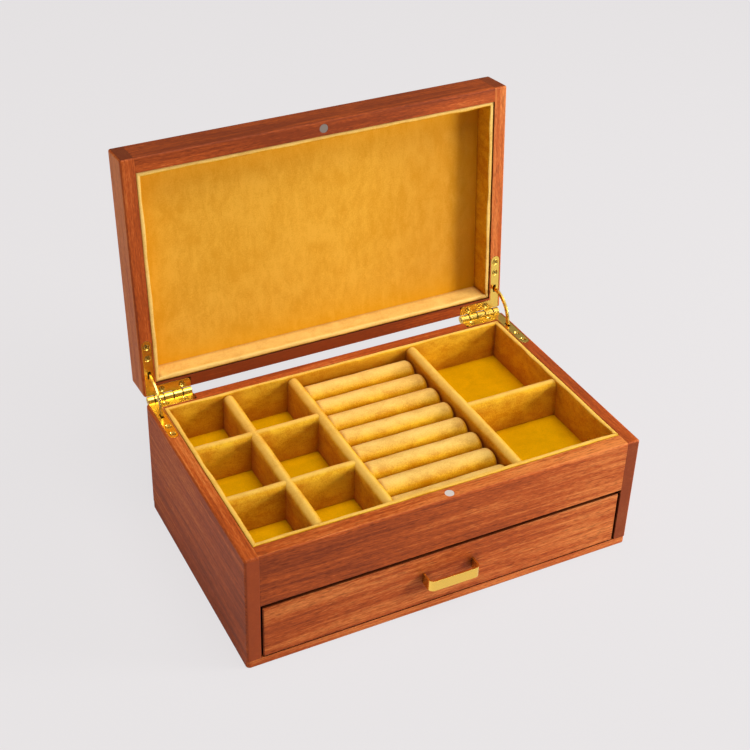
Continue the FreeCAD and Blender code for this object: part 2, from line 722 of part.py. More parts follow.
def make_leaf(label, low_z, knuckles):
    """One right-hand leaf: an L-shaped plate with a slot for the arm, and knuckles."""
    body = new_body(label)
    sketch = new_sketch(body, "XY_Plane", low_z)
    draw_outline(
        sketch,
        [
            (LEAF_INNER_X, LEAF_TIP_Y),
            (LEAF_OUTER_X, LEAF_TIP_Y),
            (LEAF_OUTER_X, LEAF_BACK_Y),
            (LEAF_END_X, LEAF_BACK_Y),
            (LEAF_END_X, LEAF_LEG_Y),
            (LEAF_INNER_X, LEAF_LEG_Y),
        ],
    )
    plate = add_pad(body, sketch, "sizes.leaf_thickness")
    doc.recompute()
    box = plate.Shape.BoundBox
    tip = round_edges(
        body,
        plate,
        "(sizes.leaf_width - sizes.leaf_tip_flat) / 2",
        lambda edge: runs_along(edge, 2) and abs(edge.BoundBox.YMin - box.YMin) < 1e-4,
    )
    leg_y = size("case_depth") / 2 - size("leaf_width")
    round_edges(
        body,
        tip,
        "sizes.leaf_corner_round",
        lambda edge: runs_along(edge, 2) and lies_at(edge, 0, box.XMin) and lies_at(edge, 1, leg_y),
    )
    spans = knuckle_spans()
    for number in knuckles:
        inner_x = f"({spans[number][0]} + sizes.knuckle_gap / 2)"
        outer_x = f"({spans[number][1]} - sizes.knuckle_gap / 2)"
        add_block(body, inner_x, outer_x, f"{LEAF_BACK_Y} - {PAST}", PIN_Y, low_z, "sizes.leaf_thickness")
        ring = new_sketch(body, "YZ_Plane", inner_x)
        draw_circle(ring, PIN_Y, PIN_Z, "sizes.knuckle_radius")
        add_pad(body, ring, f"{outer_x} - {inner_x}")
    bore = new_sketch(body, "YZ_Plane", f"{LEAF_OUTER_X} + {PAST}")
    draw_circle(bore, PIN_Y, PIN_Z, "sizes.pin_radius + sizes.pin_clearance")
    add_pocket(body, bore, f"sizes.leaf_back_length + 2 * {PAST}")
    cut_block(
        body,
        f"{LEAF_MID_X} - sizes.leaf_slot_width / 2",
        f"{LEAF_MID_X} + sizes.leaf_slot_width / 2",
        f"{SLOT_MID_Y} - sizes.leaf_slot_length / 2",
        f"{SLOT_MID_Y} + sizes.leaf_slot_length / 2",
        f"{low_z} + sizes.leaf_thickness",
        "sizes.leaf_thickness",
    )
    return body


def make_hinge_pins():
    """The pins through the knuckles."""
    for side, start_x in (("right", LEAF_END_X), ("left", f"-{LEAF_OUTER_X}")):
        pin = doc.addObject("Part::Cylinder", f"hinge_pin_{side}")
        pin.Label = f"hinge_pin_{side}"
        pin.Placement = FreeCAD.Placement(Vector(0, 0, 0), FreeCAD.Rotation(Vector(0, 1, 0), 90))
        pin.setExpression("Radius", "sizes.pin_radius")
        pin.setExpression("Height", "sizes.leaf_back_length")
        pin.setExpression("Placement.Base.x", start_x)
        pin.setExpression("Placement.Base.y", PIN_Y)
        pin.setExpression("Placement.Base.z", PIN_Z)
        pieces.append(pin)


def make_arm():
    """The curved stay: a flat strip turned about the pins, with a cross head at each end.

    On the closed box it reaches as far into the lid as into the case, so half of
    the lid's angle stands it as the open lid does.
    """
    body = new_body("quadrant_arm_right")
    low_x = f"{LEAF_MID_X} - sizes.arm_thickness / 2"
    high_x = f"{LEAF_MID_X} + sizes.arm_thickness / 2"
    strip = turned_profile(body, low_x, high_x, "sizes.arm_width / 2")
    arc = body.newObject("PartDesign::Revolution", "Strip")
    arc.Profile = strip
    arc.ReferenceAxis = (strip, ["Axis0"])
    arc.Midplane = True
    arc.setExpression("Angle", f"2 * {ARM_REACH}")
    for sign in ("+", "-"):
        head = new_sketch(body, "YZ_Plane", f"{LEAF_MID_X} - sizes.arm_head_length / 2")
        across = f"{PIN_Y} - sizes.arm_radius * cos({ARM_REACH})"
        up = f"{PIN_Z} {sign} sizes.arm_radius * sin({ARM_REACH})"
        draw_circle(head, across, up, "sizes.arm_head_radius")
        add_pad(body, head, "sizes.arm_head_length")
    turn_open(body, 0.5)
    mirrored(body, "quadrant_arm_left")


def make_hinges():
    """Both quadrant hinges: leaves, pins and arms."""
    case_leaf = make_leaf("case_hinge_leaf_right", f"({RIM_Z} - sizes.leaf_thickness)", (0, 2, 4))
    mirrored(case_leaf, "case_hinge_leaf_left")
    lid_leaf = make_leaf("lid_hinge_leaf_right", LID_RIM_Z, (1, 3))
    open_with_lid(lid_leaf)
    mirrored(lid_leaf, "lid_hinge_leaf_left")
    make_hinge_pins()
    make_arm()


# ---------------------------------------------------------------- lid
def make_lid_rails():
    """The four rails of the lid; the sides run through and the panel lies in a rebate."""
    outer_x = size("case_width") / 2
    half_depth = size("case_depth") / 2
    top = size("case_height") + size("rim_gap") + size("lid_height")
    rim = size("case_height") + size("rim_gap")
    seat_top = f"({LID_RIM_Z} + sizes.leaf_thickness)"
    rebate = "(sizes.lid_panel_rebate + sizes.board_fit)"

    right = new_body("lid_right_rail")
    pad = add_block(right, INNER_X, OUTER_X, FRONT_Y, BACK_Y, LID_RIM_Z, "sizes.lid_height")
    round_edges(
        right,
        pad,
        "sizes.edge_round",
        lambda edge: lies_at(edge, 0, outer_x)
        or (runs_along(edge, 0) and (lies_at(edge, 2, top) or lies_at(edge, 1, -half_depth))),
    )
    cut_block(
        right,
        f"{INNER_X} - {PAST}",
        f"{INNER_X} + {rebate}",
        f"{RAIL_Y} - {rebate}",
        f"{BACK_INNER_Y} + {rebate}",
        LID_TOP_Z,
        "sizes.lid_panel_thickness",
    )
    cut_side_seat(right, seat_top)
    cut_arm_mortise(right)
    open_with_lid(right)
    mirrored(right, "lid_left_rail")

    front = new_body("lid_front_rail")
    pad = add_block(front, f"-{INNER_X}", INNER_X, FRONT_Y, RAIL_Y, LID_RIM_Z, "sizes.lid_height")
    round_edges(
        front, pad, "sizes.edge_round", lambda edge: runs_along(edge, 0) and lies_at(edge, 1, -half_depth)
    )
    cut_block(
        front,
        f"-{INNER_X} - {PAST}",
        f"{INNER_X} + {PAST}",
        f"{RAIL_Y} - {rebate}",
        f"{RAIL_Y} + {PAST}",
        LID_TOP_Z,
        "sizes.lid_panel_thickness",
    )
    cut_hole(
        front,
        "0",
        f"{FRONT_Y} + sizes.magnet_setback",
        "sizes.magnet_radius + sizes.magnet_clearance",
        f"{LID_RIM_Z} + sizes.magnet_thickness",
        "sizes.magnet_thickness",
    )
    open_with_lid(front)

    back = new_body("lid_back_rail")
    pad = add_block(back, f"-{INNER_X}", INNER_X, BACK_INNER_Y, BACK_Y, LID_RIM_Z, "sizes.lid_height")
    round_edges(
        back,
        pad,
        "sizes.edge_round",
        lambda edge: runs_along(edge, 0) and lies_at(edge, 1, half_depth) and not lies_at(edge, 2, rim),
    )
    cut_block(
        back,
        f"-{INNER_X} - {PAST}",
        f"{INNER_X} + {PAST}",
        f"{BACK_INNER_Y} - {PAST}",
        f"{BACK_INNER_Y} + {rebate}",
        LID_TOP_Z,
        "sizes.lid_panel_thickness",
    )
    cut_back_seats(back, seat_top)
    open_with_lid(back)


def make_lid():
    """The lid with its panel, magnet and velvet."""
    make_lid_rails()
    panel = new_body("lid_top_panel")
    rebate = "sizes.lid_panel_rebate"
    add_block(
        panel,
        f"-{INNER_X} - {rebate}",
        f"{INNER_X} + {rebate}",
        f"{RAIL_Y} - {rebate}",
        f"{BACK_INNER_Y} + {rebate}",
        LID_PANEL_LOW_Z,
        "sizes.lid_panel_thickness",
    )
    open_with_lid(panel)
    open_with_lid(make_magnet("lid_magnet", LID_RIM_Z))
    open_with_lid(
        make_floor(
            "lid_floor_velvet",
            WELL_X,
            WELL_FRONT_Y,
            WELL_BACK_Y,
            f"{LID_PANEL_LOW_Z} - sizes.velvet_board_thickness",
        )
    )
    strips = line_well(
        "lid_lining",
        LINING_X,
        LINING_FRONT_Y,
        LINING_BACK_Y,
        "sizes.lining_thickness",
        f"({LID_RIM_Z} + sizes.lid_lining_drop)",
        f"{LID_PANEL_LOW_Z} - {LID_RIM_Z} - sizes.lid_lining_drop",
        False,
    )
    for strip in strips:
        open_with_lid(strip)


# ---------------------------------------------------------------- drawer
def make_drawer_front():
    """The drawer's front, flush in its opening, mortised for the pull's tangs."""
    body = new_body("drawer_front")
    pad = add_block(
        body,
        f"-{DRAWER_X}",
        DRAWER_X,
        FRONT_Y,
        DRAWER_FRONT_IN_Y,
        DRAWER_LOW_Z,
        f"{DRAWER_TOP_Z} - {DRAWER_LOW_Z}",
    )
    front = -size("case_depth") / 2
    ease_edges(body, pad, "sizes.edge_ease", lambda edge: lies_at(edge, 1, front))
    cut_block(
        body,
        f"-{DRAWER_IN_X} - sizes.drawer_bottom_tongue",
        f"{DRAWER_IN_X} + sizes.drawer_bottom_tongue",
        f"{DRAWER_FRONT_IN_Y} - sizes.drawer_bottom_tongue - sizes.board_fit",
        f"{DRAWER_FRONT_IN_Y} + {PAST}",
        DRAWER_BOARD_TOP_Z,
        "sizes.drawer_bottom_thickness",
    )
    for low_x, high_x in ((PULL_IN_X, PULL_X), (f"-{PULL_X}", f"-{PULL_IN_X}")):
        cut_block(
            body,
            f"{low_x} - sizes.pull_tang_fit",
            f"{high_x} + sizes.pull_tang_fit",
            f"{FRONT_Y} - {PAST}",
            f"{FRONT_Y} + sizes.pull_tang_length",
            f"{PULL_Z} + sizes.pull_tang_height / 2 + sizes.pull_tang_fit",
            "sizes.pull_tang_height + 2 * sizes.pull_tang_fit",
        )


def make_drawer_box():
    """The drawer's sides, back and bottom."""
    wall_height = f"{DRAWER_WALL_TOP_Z} - {DRAWER_LOW_Z}"
    groove = "(sizes.drawer_bottom_tongue + sizes.board_fit)"
    side = new_body("drawer_side_right")
    add_block(side, DRAWER_IN_X, DRAWER_X, DRAWER_FRONT_IN_Y, DRAWER_BACK_Y, DRAWER_LOW_Z, wall_height)
    cut_block(
        side,
        f"{DRAWER_IN_X} - {PAST}",
        f"{DRAWER_IN_X} + {groove}",
        f"{DRAWER_FRONT_IN_Y} - {PAST}",
        f"{DRAWER_BACK_IN_Y} + {groove}",
        DRAWER_BOARD_TOP_Z,
        "sizes.drawer_bottom_thickness",
    )
    mirrored(side, "drawer_side_left")

    back = new_body("drawer_back")
    add_block(
        back, f"-{DRAWER_IN_X}", DRAWER_IN_X, DRAWER_BACK_IN_Y, DRAWER_BACK_Y, DRAWER_LOW_Z, wall_height
    )
    cut_block(
        back,
        f"-{DRAWER_IN_X} - {PAST}",
        f"{DRAWER_IN_X} + {PAST}",
        f"{DRAWER_BACK_IN_Y} - {PAST}",
        f"{DRAWER_BACK_IN_Y} + {groove}",
        DRAWER_BOARD_TOP_Z,
        "sizes.drawer_bottom_thickness",
    )

    bottom = new_body("drawer_bottom")
    tongue = "sizes.drawer_bottom_tongue"
    add_block(
        bottom,
        f"-{DRAWER_IN_X} - {tongue}",
        f"{DRAWER_IN_X} + {tongue}",
        f"{DRAWER_FRONT_IN_Y} - {tongue}",
        f"{DRAWER_BACK_IN_Y} + {tongue}",
        DRAWER_BOARD_LOW_Z,
        "sizes.drawer_bottom_thickness",
    )


def make_pull():
    """The bent brass strip on the drawer's front, with a tang behind each leg."""
    body = new_body("drawer_pull")
    strip = "sizes.pull_strip_thickness"
    reach_y = f"({FRONT_Y} - sizes.pull_reach)"
    sketch = new_sketch(body, "XY_Plane", f"{PULL_Z} - sizes.pull_strip_height / 2")
    draw_outline(
        sketch,
        [
            (f"-{PULL_X}", FRONT_Y),
            (f"-{PULL_X}", reach_y),
            (PULL_X, reach_y),
            (PULL_X, FRONT_Y),
            (PULL_IN_X, FRONT_Y),
            (PULL_IN_X, f"{reach_y} + {strip}"),
            (f"-{PULL_IN_X}", f"{reach_y} + {strip}"),
            (f"-{PULL_IN_X}", FRONT_Y),
        ],
    )
    pad = add_pad(body, sketch, "sizes.pull_strip_height")
    outer_y = -size("case_depth") / 2 - size("pull_reach")
    inner_y = outer_y + size("pull_strip_thickness")
    outer = round_edges(
        body,
        pad,
        "sizes.pull_corner_radius",
        lambda edge: runs_along(edge, 2) and lies_at(edge, 1, outer_y),
    )
    round_edges(
        body,
        outer,
        "sizes.pull_corner_radius - sizes.pull_strip_thickness",
        lambda edge: runs_along(edge, 2) and lies_at(edge, 1, inner_y),
    )
    for low_x, high_x in ((PULL_IN_X, PULL_X), (f"-{PULL_X}", f"-{PULL_IN_X}")):
        add_block(
            body,
            low_x,
            high_x,
            f"{FRONT_Y} - {PAST}",
            f"{FRONT_Y} + sizes.pull_tang_length",
            f"{PULL_Z} - sizes.pull_tang_height / 2",
            "sizes.pull_tang_height",
        )


def make_drawer():
    """The drawer with its velvet and its pull."""
    make_drawer_front()
    make_drawer_box()
    half_x = f"({DRAWER_IN_X} - sizes.lining_fit)"
    front_y = f"({DRAWER_FRONT_IN_Y} + sizes.lining_fit)"
    back_y = f"({DRAWER_BACK_IN_Y} - sizes.lining_fit)"
    thickness = "sizes.drawer_lining_thickness"
    make_floor(
        "drawer_floor_velvet",
        f"({half_x} - {thickness})",
        f"({front_y} + {thickness})",
        f"({back_y} - {thickness})",
        DRAWER_BOARD_TOP_Z,
    )
    line_well(
        "drawer_lining",
        half_x,
        front_y,
        back_y,
        thickness,
        DRAWER_BOARD_TOP_Z,
        f"{DRAWER_WALL_TOP_Z} - sizes.drawer_lining_drop - {DRAWER_BOARD_TOP_Z}",
        True,
    )
    make_pull()


# ---------------------------------------------------------------- the whole box
make_bottom_board()
make_sides()
make_front_rail()
make_back_board()
make_tray_board()
make_magnet("case_magnet", f"{RIM_Z} - sizes.magnet_thickness")
make_floor("tray_floor_velvet", WELL_X, WELL_FRONT_Y, WELL_BACK_Y, TRAY_BOARD_TOP_Z)
line_well(
    "tray_lining",
    LINING_X,
    LINING_FRONT_Y,
    LINING_BACK_Y,
    "sizes.lining_thickness",
    TRAY_BOARD_TOP_Z,
    f"{RIM_Z} + sizes.lining_proud - {TRAY_BOARD_TOP_Z}",
    True,
)
make_dividers()
make_ring_rolls()
make_hinges()
make_lid()
make_drawer()
doc.recompute()

for item in doc.Objects:
    if "Invalid" in item.State or "Error" in item.State:
        raise RuntimeError(f"{item.Label} did not rebuild: {item.State}")
for piece in pieces:
    if piece.Shape.isNull() or not piece.Shape.isValid() or not piece.Shape.Solids:
        raise RuntimeError(f"{piece.Label} is not a valid solid")

os.makedirs("parts", exist_ok=True)
for piece in pieces:
    piece.Shape.exportStep(f"parts/{piece.Label}.step")
print(len(pieces), "pieces written")
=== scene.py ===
"""Looks for a ring box with a hinged lid, a velvet tray, ring rolls and a drawer.

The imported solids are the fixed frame. The wooden and metal solids stay and get
their finishes here, and each velvet solid is replaced by a padded piece. All
lengths are in metres, apart from those whose names end in _mm.
"""

import json
import math
from functools import partial

import bmesh
import bpy
from bpy.props import FloatProperty, FloatVectorProperty, PointerProperty
from bpy.types import Operator, Panel, PropertyGroup
from mathutils import Matrix, Vector, noise


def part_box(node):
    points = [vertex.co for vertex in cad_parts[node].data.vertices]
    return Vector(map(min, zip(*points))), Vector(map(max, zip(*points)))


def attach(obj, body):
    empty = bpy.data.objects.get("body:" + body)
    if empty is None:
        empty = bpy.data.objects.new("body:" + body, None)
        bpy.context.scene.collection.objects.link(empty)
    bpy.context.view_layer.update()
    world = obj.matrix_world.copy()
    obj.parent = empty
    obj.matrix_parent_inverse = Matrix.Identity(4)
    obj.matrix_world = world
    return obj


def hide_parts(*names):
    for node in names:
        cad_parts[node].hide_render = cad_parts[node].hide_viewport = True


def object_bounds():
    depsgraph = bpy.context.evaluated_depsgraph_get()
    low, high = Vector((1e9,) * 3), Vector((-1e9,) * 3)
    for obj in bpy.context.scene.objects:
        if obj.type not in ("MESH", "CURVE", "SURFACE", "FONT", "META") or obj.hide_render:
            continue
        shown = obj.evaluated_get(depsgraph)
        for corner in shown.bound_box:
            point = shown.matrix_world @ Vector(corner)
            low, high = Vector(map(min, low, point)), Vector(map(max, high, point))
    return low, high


bl_info = {
    "name": "Ring box with drawer",
    "version": (1, 0, 0),
    "blender": (4, 5, 0),
    "location": "View3D > Sidebar > Ring Box",
    "description": "Dresses the solids of a wooden ring box in oiled wood, brass and velvet",
    "category": "Add Mesh",
}

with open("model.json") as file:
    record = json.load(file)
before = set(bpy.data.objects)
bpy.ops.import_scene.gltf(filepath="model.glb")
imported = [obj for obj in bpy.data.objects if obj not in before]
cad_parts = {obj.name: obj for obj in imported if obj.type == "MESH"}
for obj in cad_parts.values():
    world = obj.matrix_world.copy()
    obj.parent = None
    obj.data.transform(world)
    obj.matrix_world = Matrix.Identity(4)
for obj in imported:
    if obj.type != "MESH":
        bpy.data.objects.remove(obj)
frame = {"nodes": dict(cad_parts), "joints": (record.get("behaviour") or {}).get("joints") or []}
CAD_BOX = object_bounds()
MM = 0.001


# ---------------------------------------------------------------- the frame
LID_JOINT = next(joint for joint in frame["joints"] if joint["name"] == "lid_hinge")
PIN_PLACE = Vector(LID_JOINT["pos_m"])
LID_ANGLE = math.radians(LID_JOINT["range_deg"][1])
SHUT_TURN = Matrix.Rotation(LID_ANGLE, 4, "X")
TO_SHUT = Matrix.Translation(PIN_PLACE) @ SHUT_TURN @ Matrix.Translation(-PIN_PLACE)
TO_OPEN = TO_SHUT.inverted()


def level_box(node):
    """Lowest and highest corner of a node, measured with the lid shut if it is on the lid."""
    if not node.startswith("lid_"):
        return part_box(node)
    points = [TO_SHUT @ vertex.co for vertex in frame["nodes"][node].data.vertices]
    low = Vector([min(point[axis] for point in points) for axis in range(3)])
    high = Vector([max(point[axis] for point in points) for axis in range(3)])
    return low, high


def pose_turn(name):
    """What takes a piece from where it is modelled, with the lid shut, to the frame's pose."""
    return TO_OPEN if name.startswith("lid_") else Matrix.Identity(4)


# ---------------------------------------------------------------- colours and nodes
def linear(hex_code):
    """An sRGB hex colour as linear red, green and blue."""
    channels = [int(hex_code[place : place + 2], 16) / 255 for place in (0, 2, 4)]
    return [c / 12.92 if c <= 0.04045 else ((c + 0.055) / 1.055) ** 2.4 for c in channels]


def add_node(tree, kind, inputs=(), **settings):
    """Add a shader node, set its properties and fill its inputs.

    An input takes a value, a socket, or a node, whose first output in use is linked. A
    colour is given as red, green and blue.
    """
    node = tree.nodes.new("ShaderNode" + kind)
    for name, value in settings.items():
        setattr(node, name, value)
    for name, value in dict(inputs).items():
        socket = node.inputs[name]
        if isinstance(value, bpy.types.Node):
            value = next(output for output in value.outputs if output.enabled)
        if isinstance(value, bpy.types.NodeSocket):
            tree.links.new(value, socket)
        elif socket.type == "RGBA":
            socket.default_value = (*value, 1.0)
        else:
            socket.default_value = value
    return node


def new_material(name):
    """An empty node material, and what adds a node to it."""
    material = bpy.data.materials.new(name)
    material.use_nodes = True
    material.node_tree.nodes.clear()
    return material, partial(add_node, material.node_tree)


def ramp_stops(node, stops):
    """Set the colour stops of a colour ramp."""
    elements = node.color_ramp.elements
    while len(elements) < len(stops):
        elements.new(0.5)
    for element, (place, colour) in zip(elements, stops):
        element.position = place
        element.color = (*colour, 1.0)


def openness(add, reach_mm, power):
    """How open a place is: 1 in the open and towards 0 where surfaces close in on it."""
    shade = add("AmbientOcclusion", {"Distance": reach_mm * MM}, samples=6)
    return add("Math", {0: shade.outputs["AO"], 1: power}, operation="POWER")


def spots(add, vector, size, detail, roughness, distortion):
    """Noise whose spots have this length, width and height, in the unit of the vector."""
    stretched = add("VectorMath", {0: vector, 1: [1 / side for side in size]}, operation="MULTIPLY")
    look = {"Scale": 1.0, "Detail": detail, "Roughness": roughness, "Distortion": distortion}
    return add("TexNoise", {"Vector": stretched, **look})


# ---------------------------------------------------------------- settings
def colour_setting(name, hex_code, description):
    """A colour that the panel shows, given as sRGB hex."""
    return FloatVectorProperty(
        name=name, description=description, subtype="COLOR", default=linear(hex_code), min=0, max=1
    )


def length_setting(name, default_mm, description, least_mm=0.0):
    """A length that the panel shows, given in millimetres and held in metres."""
    return FloatProperty(
        name=name, description=description, unit="LENGTH", default=default_mm * MM, min=least_mm * MM
    )


def power_setting(name, watts, description):
    """The power of a lamp that the panel shows."""
    return FloatProperty(name=name, description=description, subtype="POWER", default=watts, min=0)


class WoodSettings(PropertyGroup):
    """Colours and grain of the oiled boards."""

    light: colour_setting("Light ribbon", "DD8240", "Colour of the pale ribbons of the grain")
    middle: colour_setting("Heartwood", "B8541F", "Colour of most of the board")
    dark: colour_setting("Dark ribbon", "863917", "Colour of the dark ribbons of the grain")
    pore: colour_setting("Pore", "4E1C0A", "Colour of the open pores")
    # Painted shade: this colour is laid where other surfaces close in on the wood, as the shade in seams
    # and gaps.
    seam: colour_setting("Seam", "1E0802", "Colour deep in a seam, where oil and dust gather")
    end_grain: colour_setting("End grain", "A04721", "Colour where a board is cut across its fibres")
    ribbon_width: length_setting("Ribbon width", 9, "Width of one ribbon of the grain", 1)
    pore_length: length_setting("Pore length", 6, "Length of one pore along the grain", 1)
    edge_round: length_setting("Edge rounding", 0.6, "Radius that sanding leaves on the edges")


class VelvetSettings(PropertyGroup):
    """Colours and padding of the velvet."""

    light: colour_setting("Raised nap", "EAB622", "Colour where the pile stands towards the light")
    dark: colour_setting("Laid nap", "CC8608", "Colour where the pile is brushed away from it")
    # Painted highlight: the crest colour is laid on faces that look towards the light and on the upper
    # walls.
    crest: colour_setting("Crest", "F2C45E", "Colour of the pile that stands open over padding")
    # Painted shade: the crease colour is laid where other surfaces close in, and as a shadow on the right
    # of the lid's floor.
    crease: colour_setting("Crease", "A25200", "Colour deep in a crease, where pile is pressed shut")
    floor: colour_setting("Cell floor", "EAAC04", "Colour of the short pile on the cell floors")
    lid_floor: colour_setting("Lid floor", "EDB03E", "Colour of the pile on the floor of the lid")
    # Painted shade along the edges of the lid's floor, where its walls close in.
    lid_floor_edge_shade: colour_setting("Lid crease", "DE9C08", "Colour along the edges of the lid's floor")
    # Painted highlight on the rolls and the lid's lining, where they face the light.
    stretched: colour_setting("Stretched crest", "F7D07A", "Colour where cloth is stretched over foam")
    sheen: colour_setting("Sheen", "FFE6B4", "Colour of the light that the tips of the pile scatter")
    tuck: length_setting("Tuck", 0.7, "How far velvet is tucked in where two soft pieces meet")
    edge_wave: length_setting("Edge wave", 0.4, "How far a padded edge wanders from a straight line")
    wall_bulge: length_setting("Wall bulge", 0.3, "How far padding swells in the middle of a wall")
    roll_end_round: length_setting("Roll end rounding", 4.2, "Radius at the ends of the rolls", 0.5)


class BrassSettings(PropertyGroup):
    """Colour of the brass and sizes of the hinge screws."""

    colour: colour_setting("Brass", "F9D263", "Colour of the polished brass")
    # Painted shade: this colour is laid in the knuckle joints and where surfaces close in on the brass,
    # as the shade in its gaps.
    gap_shade: colour_setting("Tarnish", "4A2606", "Colour of the brass in seams and round screws")
    first_joint: length_setting("First joint", 133, "Middle of the box to the outermost knuckle joint")
    knuckle_pitch: length_setting("Knuckle pitch", 6.75, "Distance from a joint to the next", 1)
    leg_width: length_setting("Leaf leg width", 6.6, "Width of the legs of a hinge leaf", 1)
    screw_radius: length_setting("Screw head radius", 1.8, "Radius of a hinge screw's head", 0.5)
    screw_gap: length_setting("Countersink gap", 0.4, "Gap round a head in its countersink", 0.05)
    screw_drop: length_setting("Screw head drop", 0.25, "How far a head lies below the leaf's face")
    sink_depth: length_setting("Countersink depth", 1.2, "Depth of the holes in the leaves", 0.3)
    side_screw_first: length_setting("First side screw", 4.5, "Distance from the tip of the side leg")
    side_screw_pitch: length_setting("Side screw pitch", 8.5, "Distance between the side leg's screws")
    back_screw_first: length_setting("First back screw", 6.5, "Distance from the end of the back leg")
    back_screw_pitch: length_setting("Back screw pitch", 14.5, "Distance between the back leg's screws")


class StageSettings(PropertyGroup):
    """Floor, lights and camera."""

    backdrop: colour_setting("Backdrop", "E8E5E6", "Colour of the floor and the backdrop")
    key_power: power_setting("Key light", 12.6, "Power of the soft light at the front right")
    top_power: power_setting("Top light", 54.0, "Power of the soft light overhead")
    left_colour: colour_setting("Left light colour", "FFE7B3", "Colour of the low light at the left")
    left_power: power_setting("Left light", 2.2, "Power of the low light at the left")
    ambient: FloatProperty(
        name="Ambient",
        description="Strength of the even light from all round",
        default=0.02,
        min=0,
    )
    azimuth: FloatProperty(
        name="Azimuth",
        description="Angle of the camera round the box, from the front",
        subtype="ANGLE",
        default=math.radians(-24.7),
    )
    elevation: FloatProperty(
        name="Elevation",
        description="Angle of the camera above the horizon",
        subtype="ANGLE",
        default=math.radians(32.642),
    )
    lens_mm: FloatProperty(
        name="Lens",
        description="Focal length for a sensor 36 mm wide, in millimetres",
        default=67.887,
        min=10,
    )


# ---------------------------------------------------------------- wood
POLISHED_BOARDS = {
    # node: (grain axis, tilt of the grain in degrees, start of the pattern in mm,
    #        tone at the low and at the high end of the board, its own tone and in part
    #        painted light and shade, painted light on its top and on its left face, share of
    #        dark flecks, brightness of the end grain, reach of the painted shade in its seams in mm)
    "bottom_board": ("X", 0.3, (0, 40, 300), (0.15, 0.2), (0.0, 0.0), 0.1, 1.0, 1.5),
    "right_side": ("Y", -0.8, (130, 0, 120), (0.0, 0.0), (-0.2, 0.0), 0.2, 0.6, 6),
    "left_side": ("Y", 0.8, (700, 90, 40), (-0.3, 0.15), (0.15, 0.0), 0.1, 0.95, 6),
    "front_rail": ("X", -1.8, (420, 0, 0), (-0.45, 0.18), (0.35, 0.0), 0.4, 1.0, 9),
    "back_board": ("X", -1.0, (900, 0, 200), (-0.1, -0.1), (0.0, 0.0), 0.1, 1.0, 6),
    "lid_right_rail": ("Y", 0.6, (1500, 30, 0), (0.3, 0.2), (0.0, 0.0), 0.35, 0.55, 3),
    "lid_left_rail": ("Y", -1.1, (1900, 0, 70), (0.0, -0.05), (0.0, 0.38), 0.1, 0.4, 3),
    "lid_front_rail": ("X", 1.0, (2300, 0, 0), (-0.4, -0.2), (0.0, 0.0), 0.3, 1.0, 3),
    "lid_back_rail": ("X", -0.7, (2700, 60, 0), (-0.7, -0.6), (0.0, 0.0), 0.1, 1.0, 3),
    "lid_top_panel": ("X", 0.5, (3100, 0, 20), (0.0, 0.0), (0.0, 0.0), 0.1, 1.0, 3),
    "drawer_front": ("X", 0.3, (3500, 12, 0), (0.05, 0.12), (0.0, 0.0), 0.4, 1.0, 9),
}
PLAIN_BOARDS = (
    "tray_board",
    "drawer_side_right",
    "drawer_side_left",
    "drawer_back",
    "drawer_bottom",
)


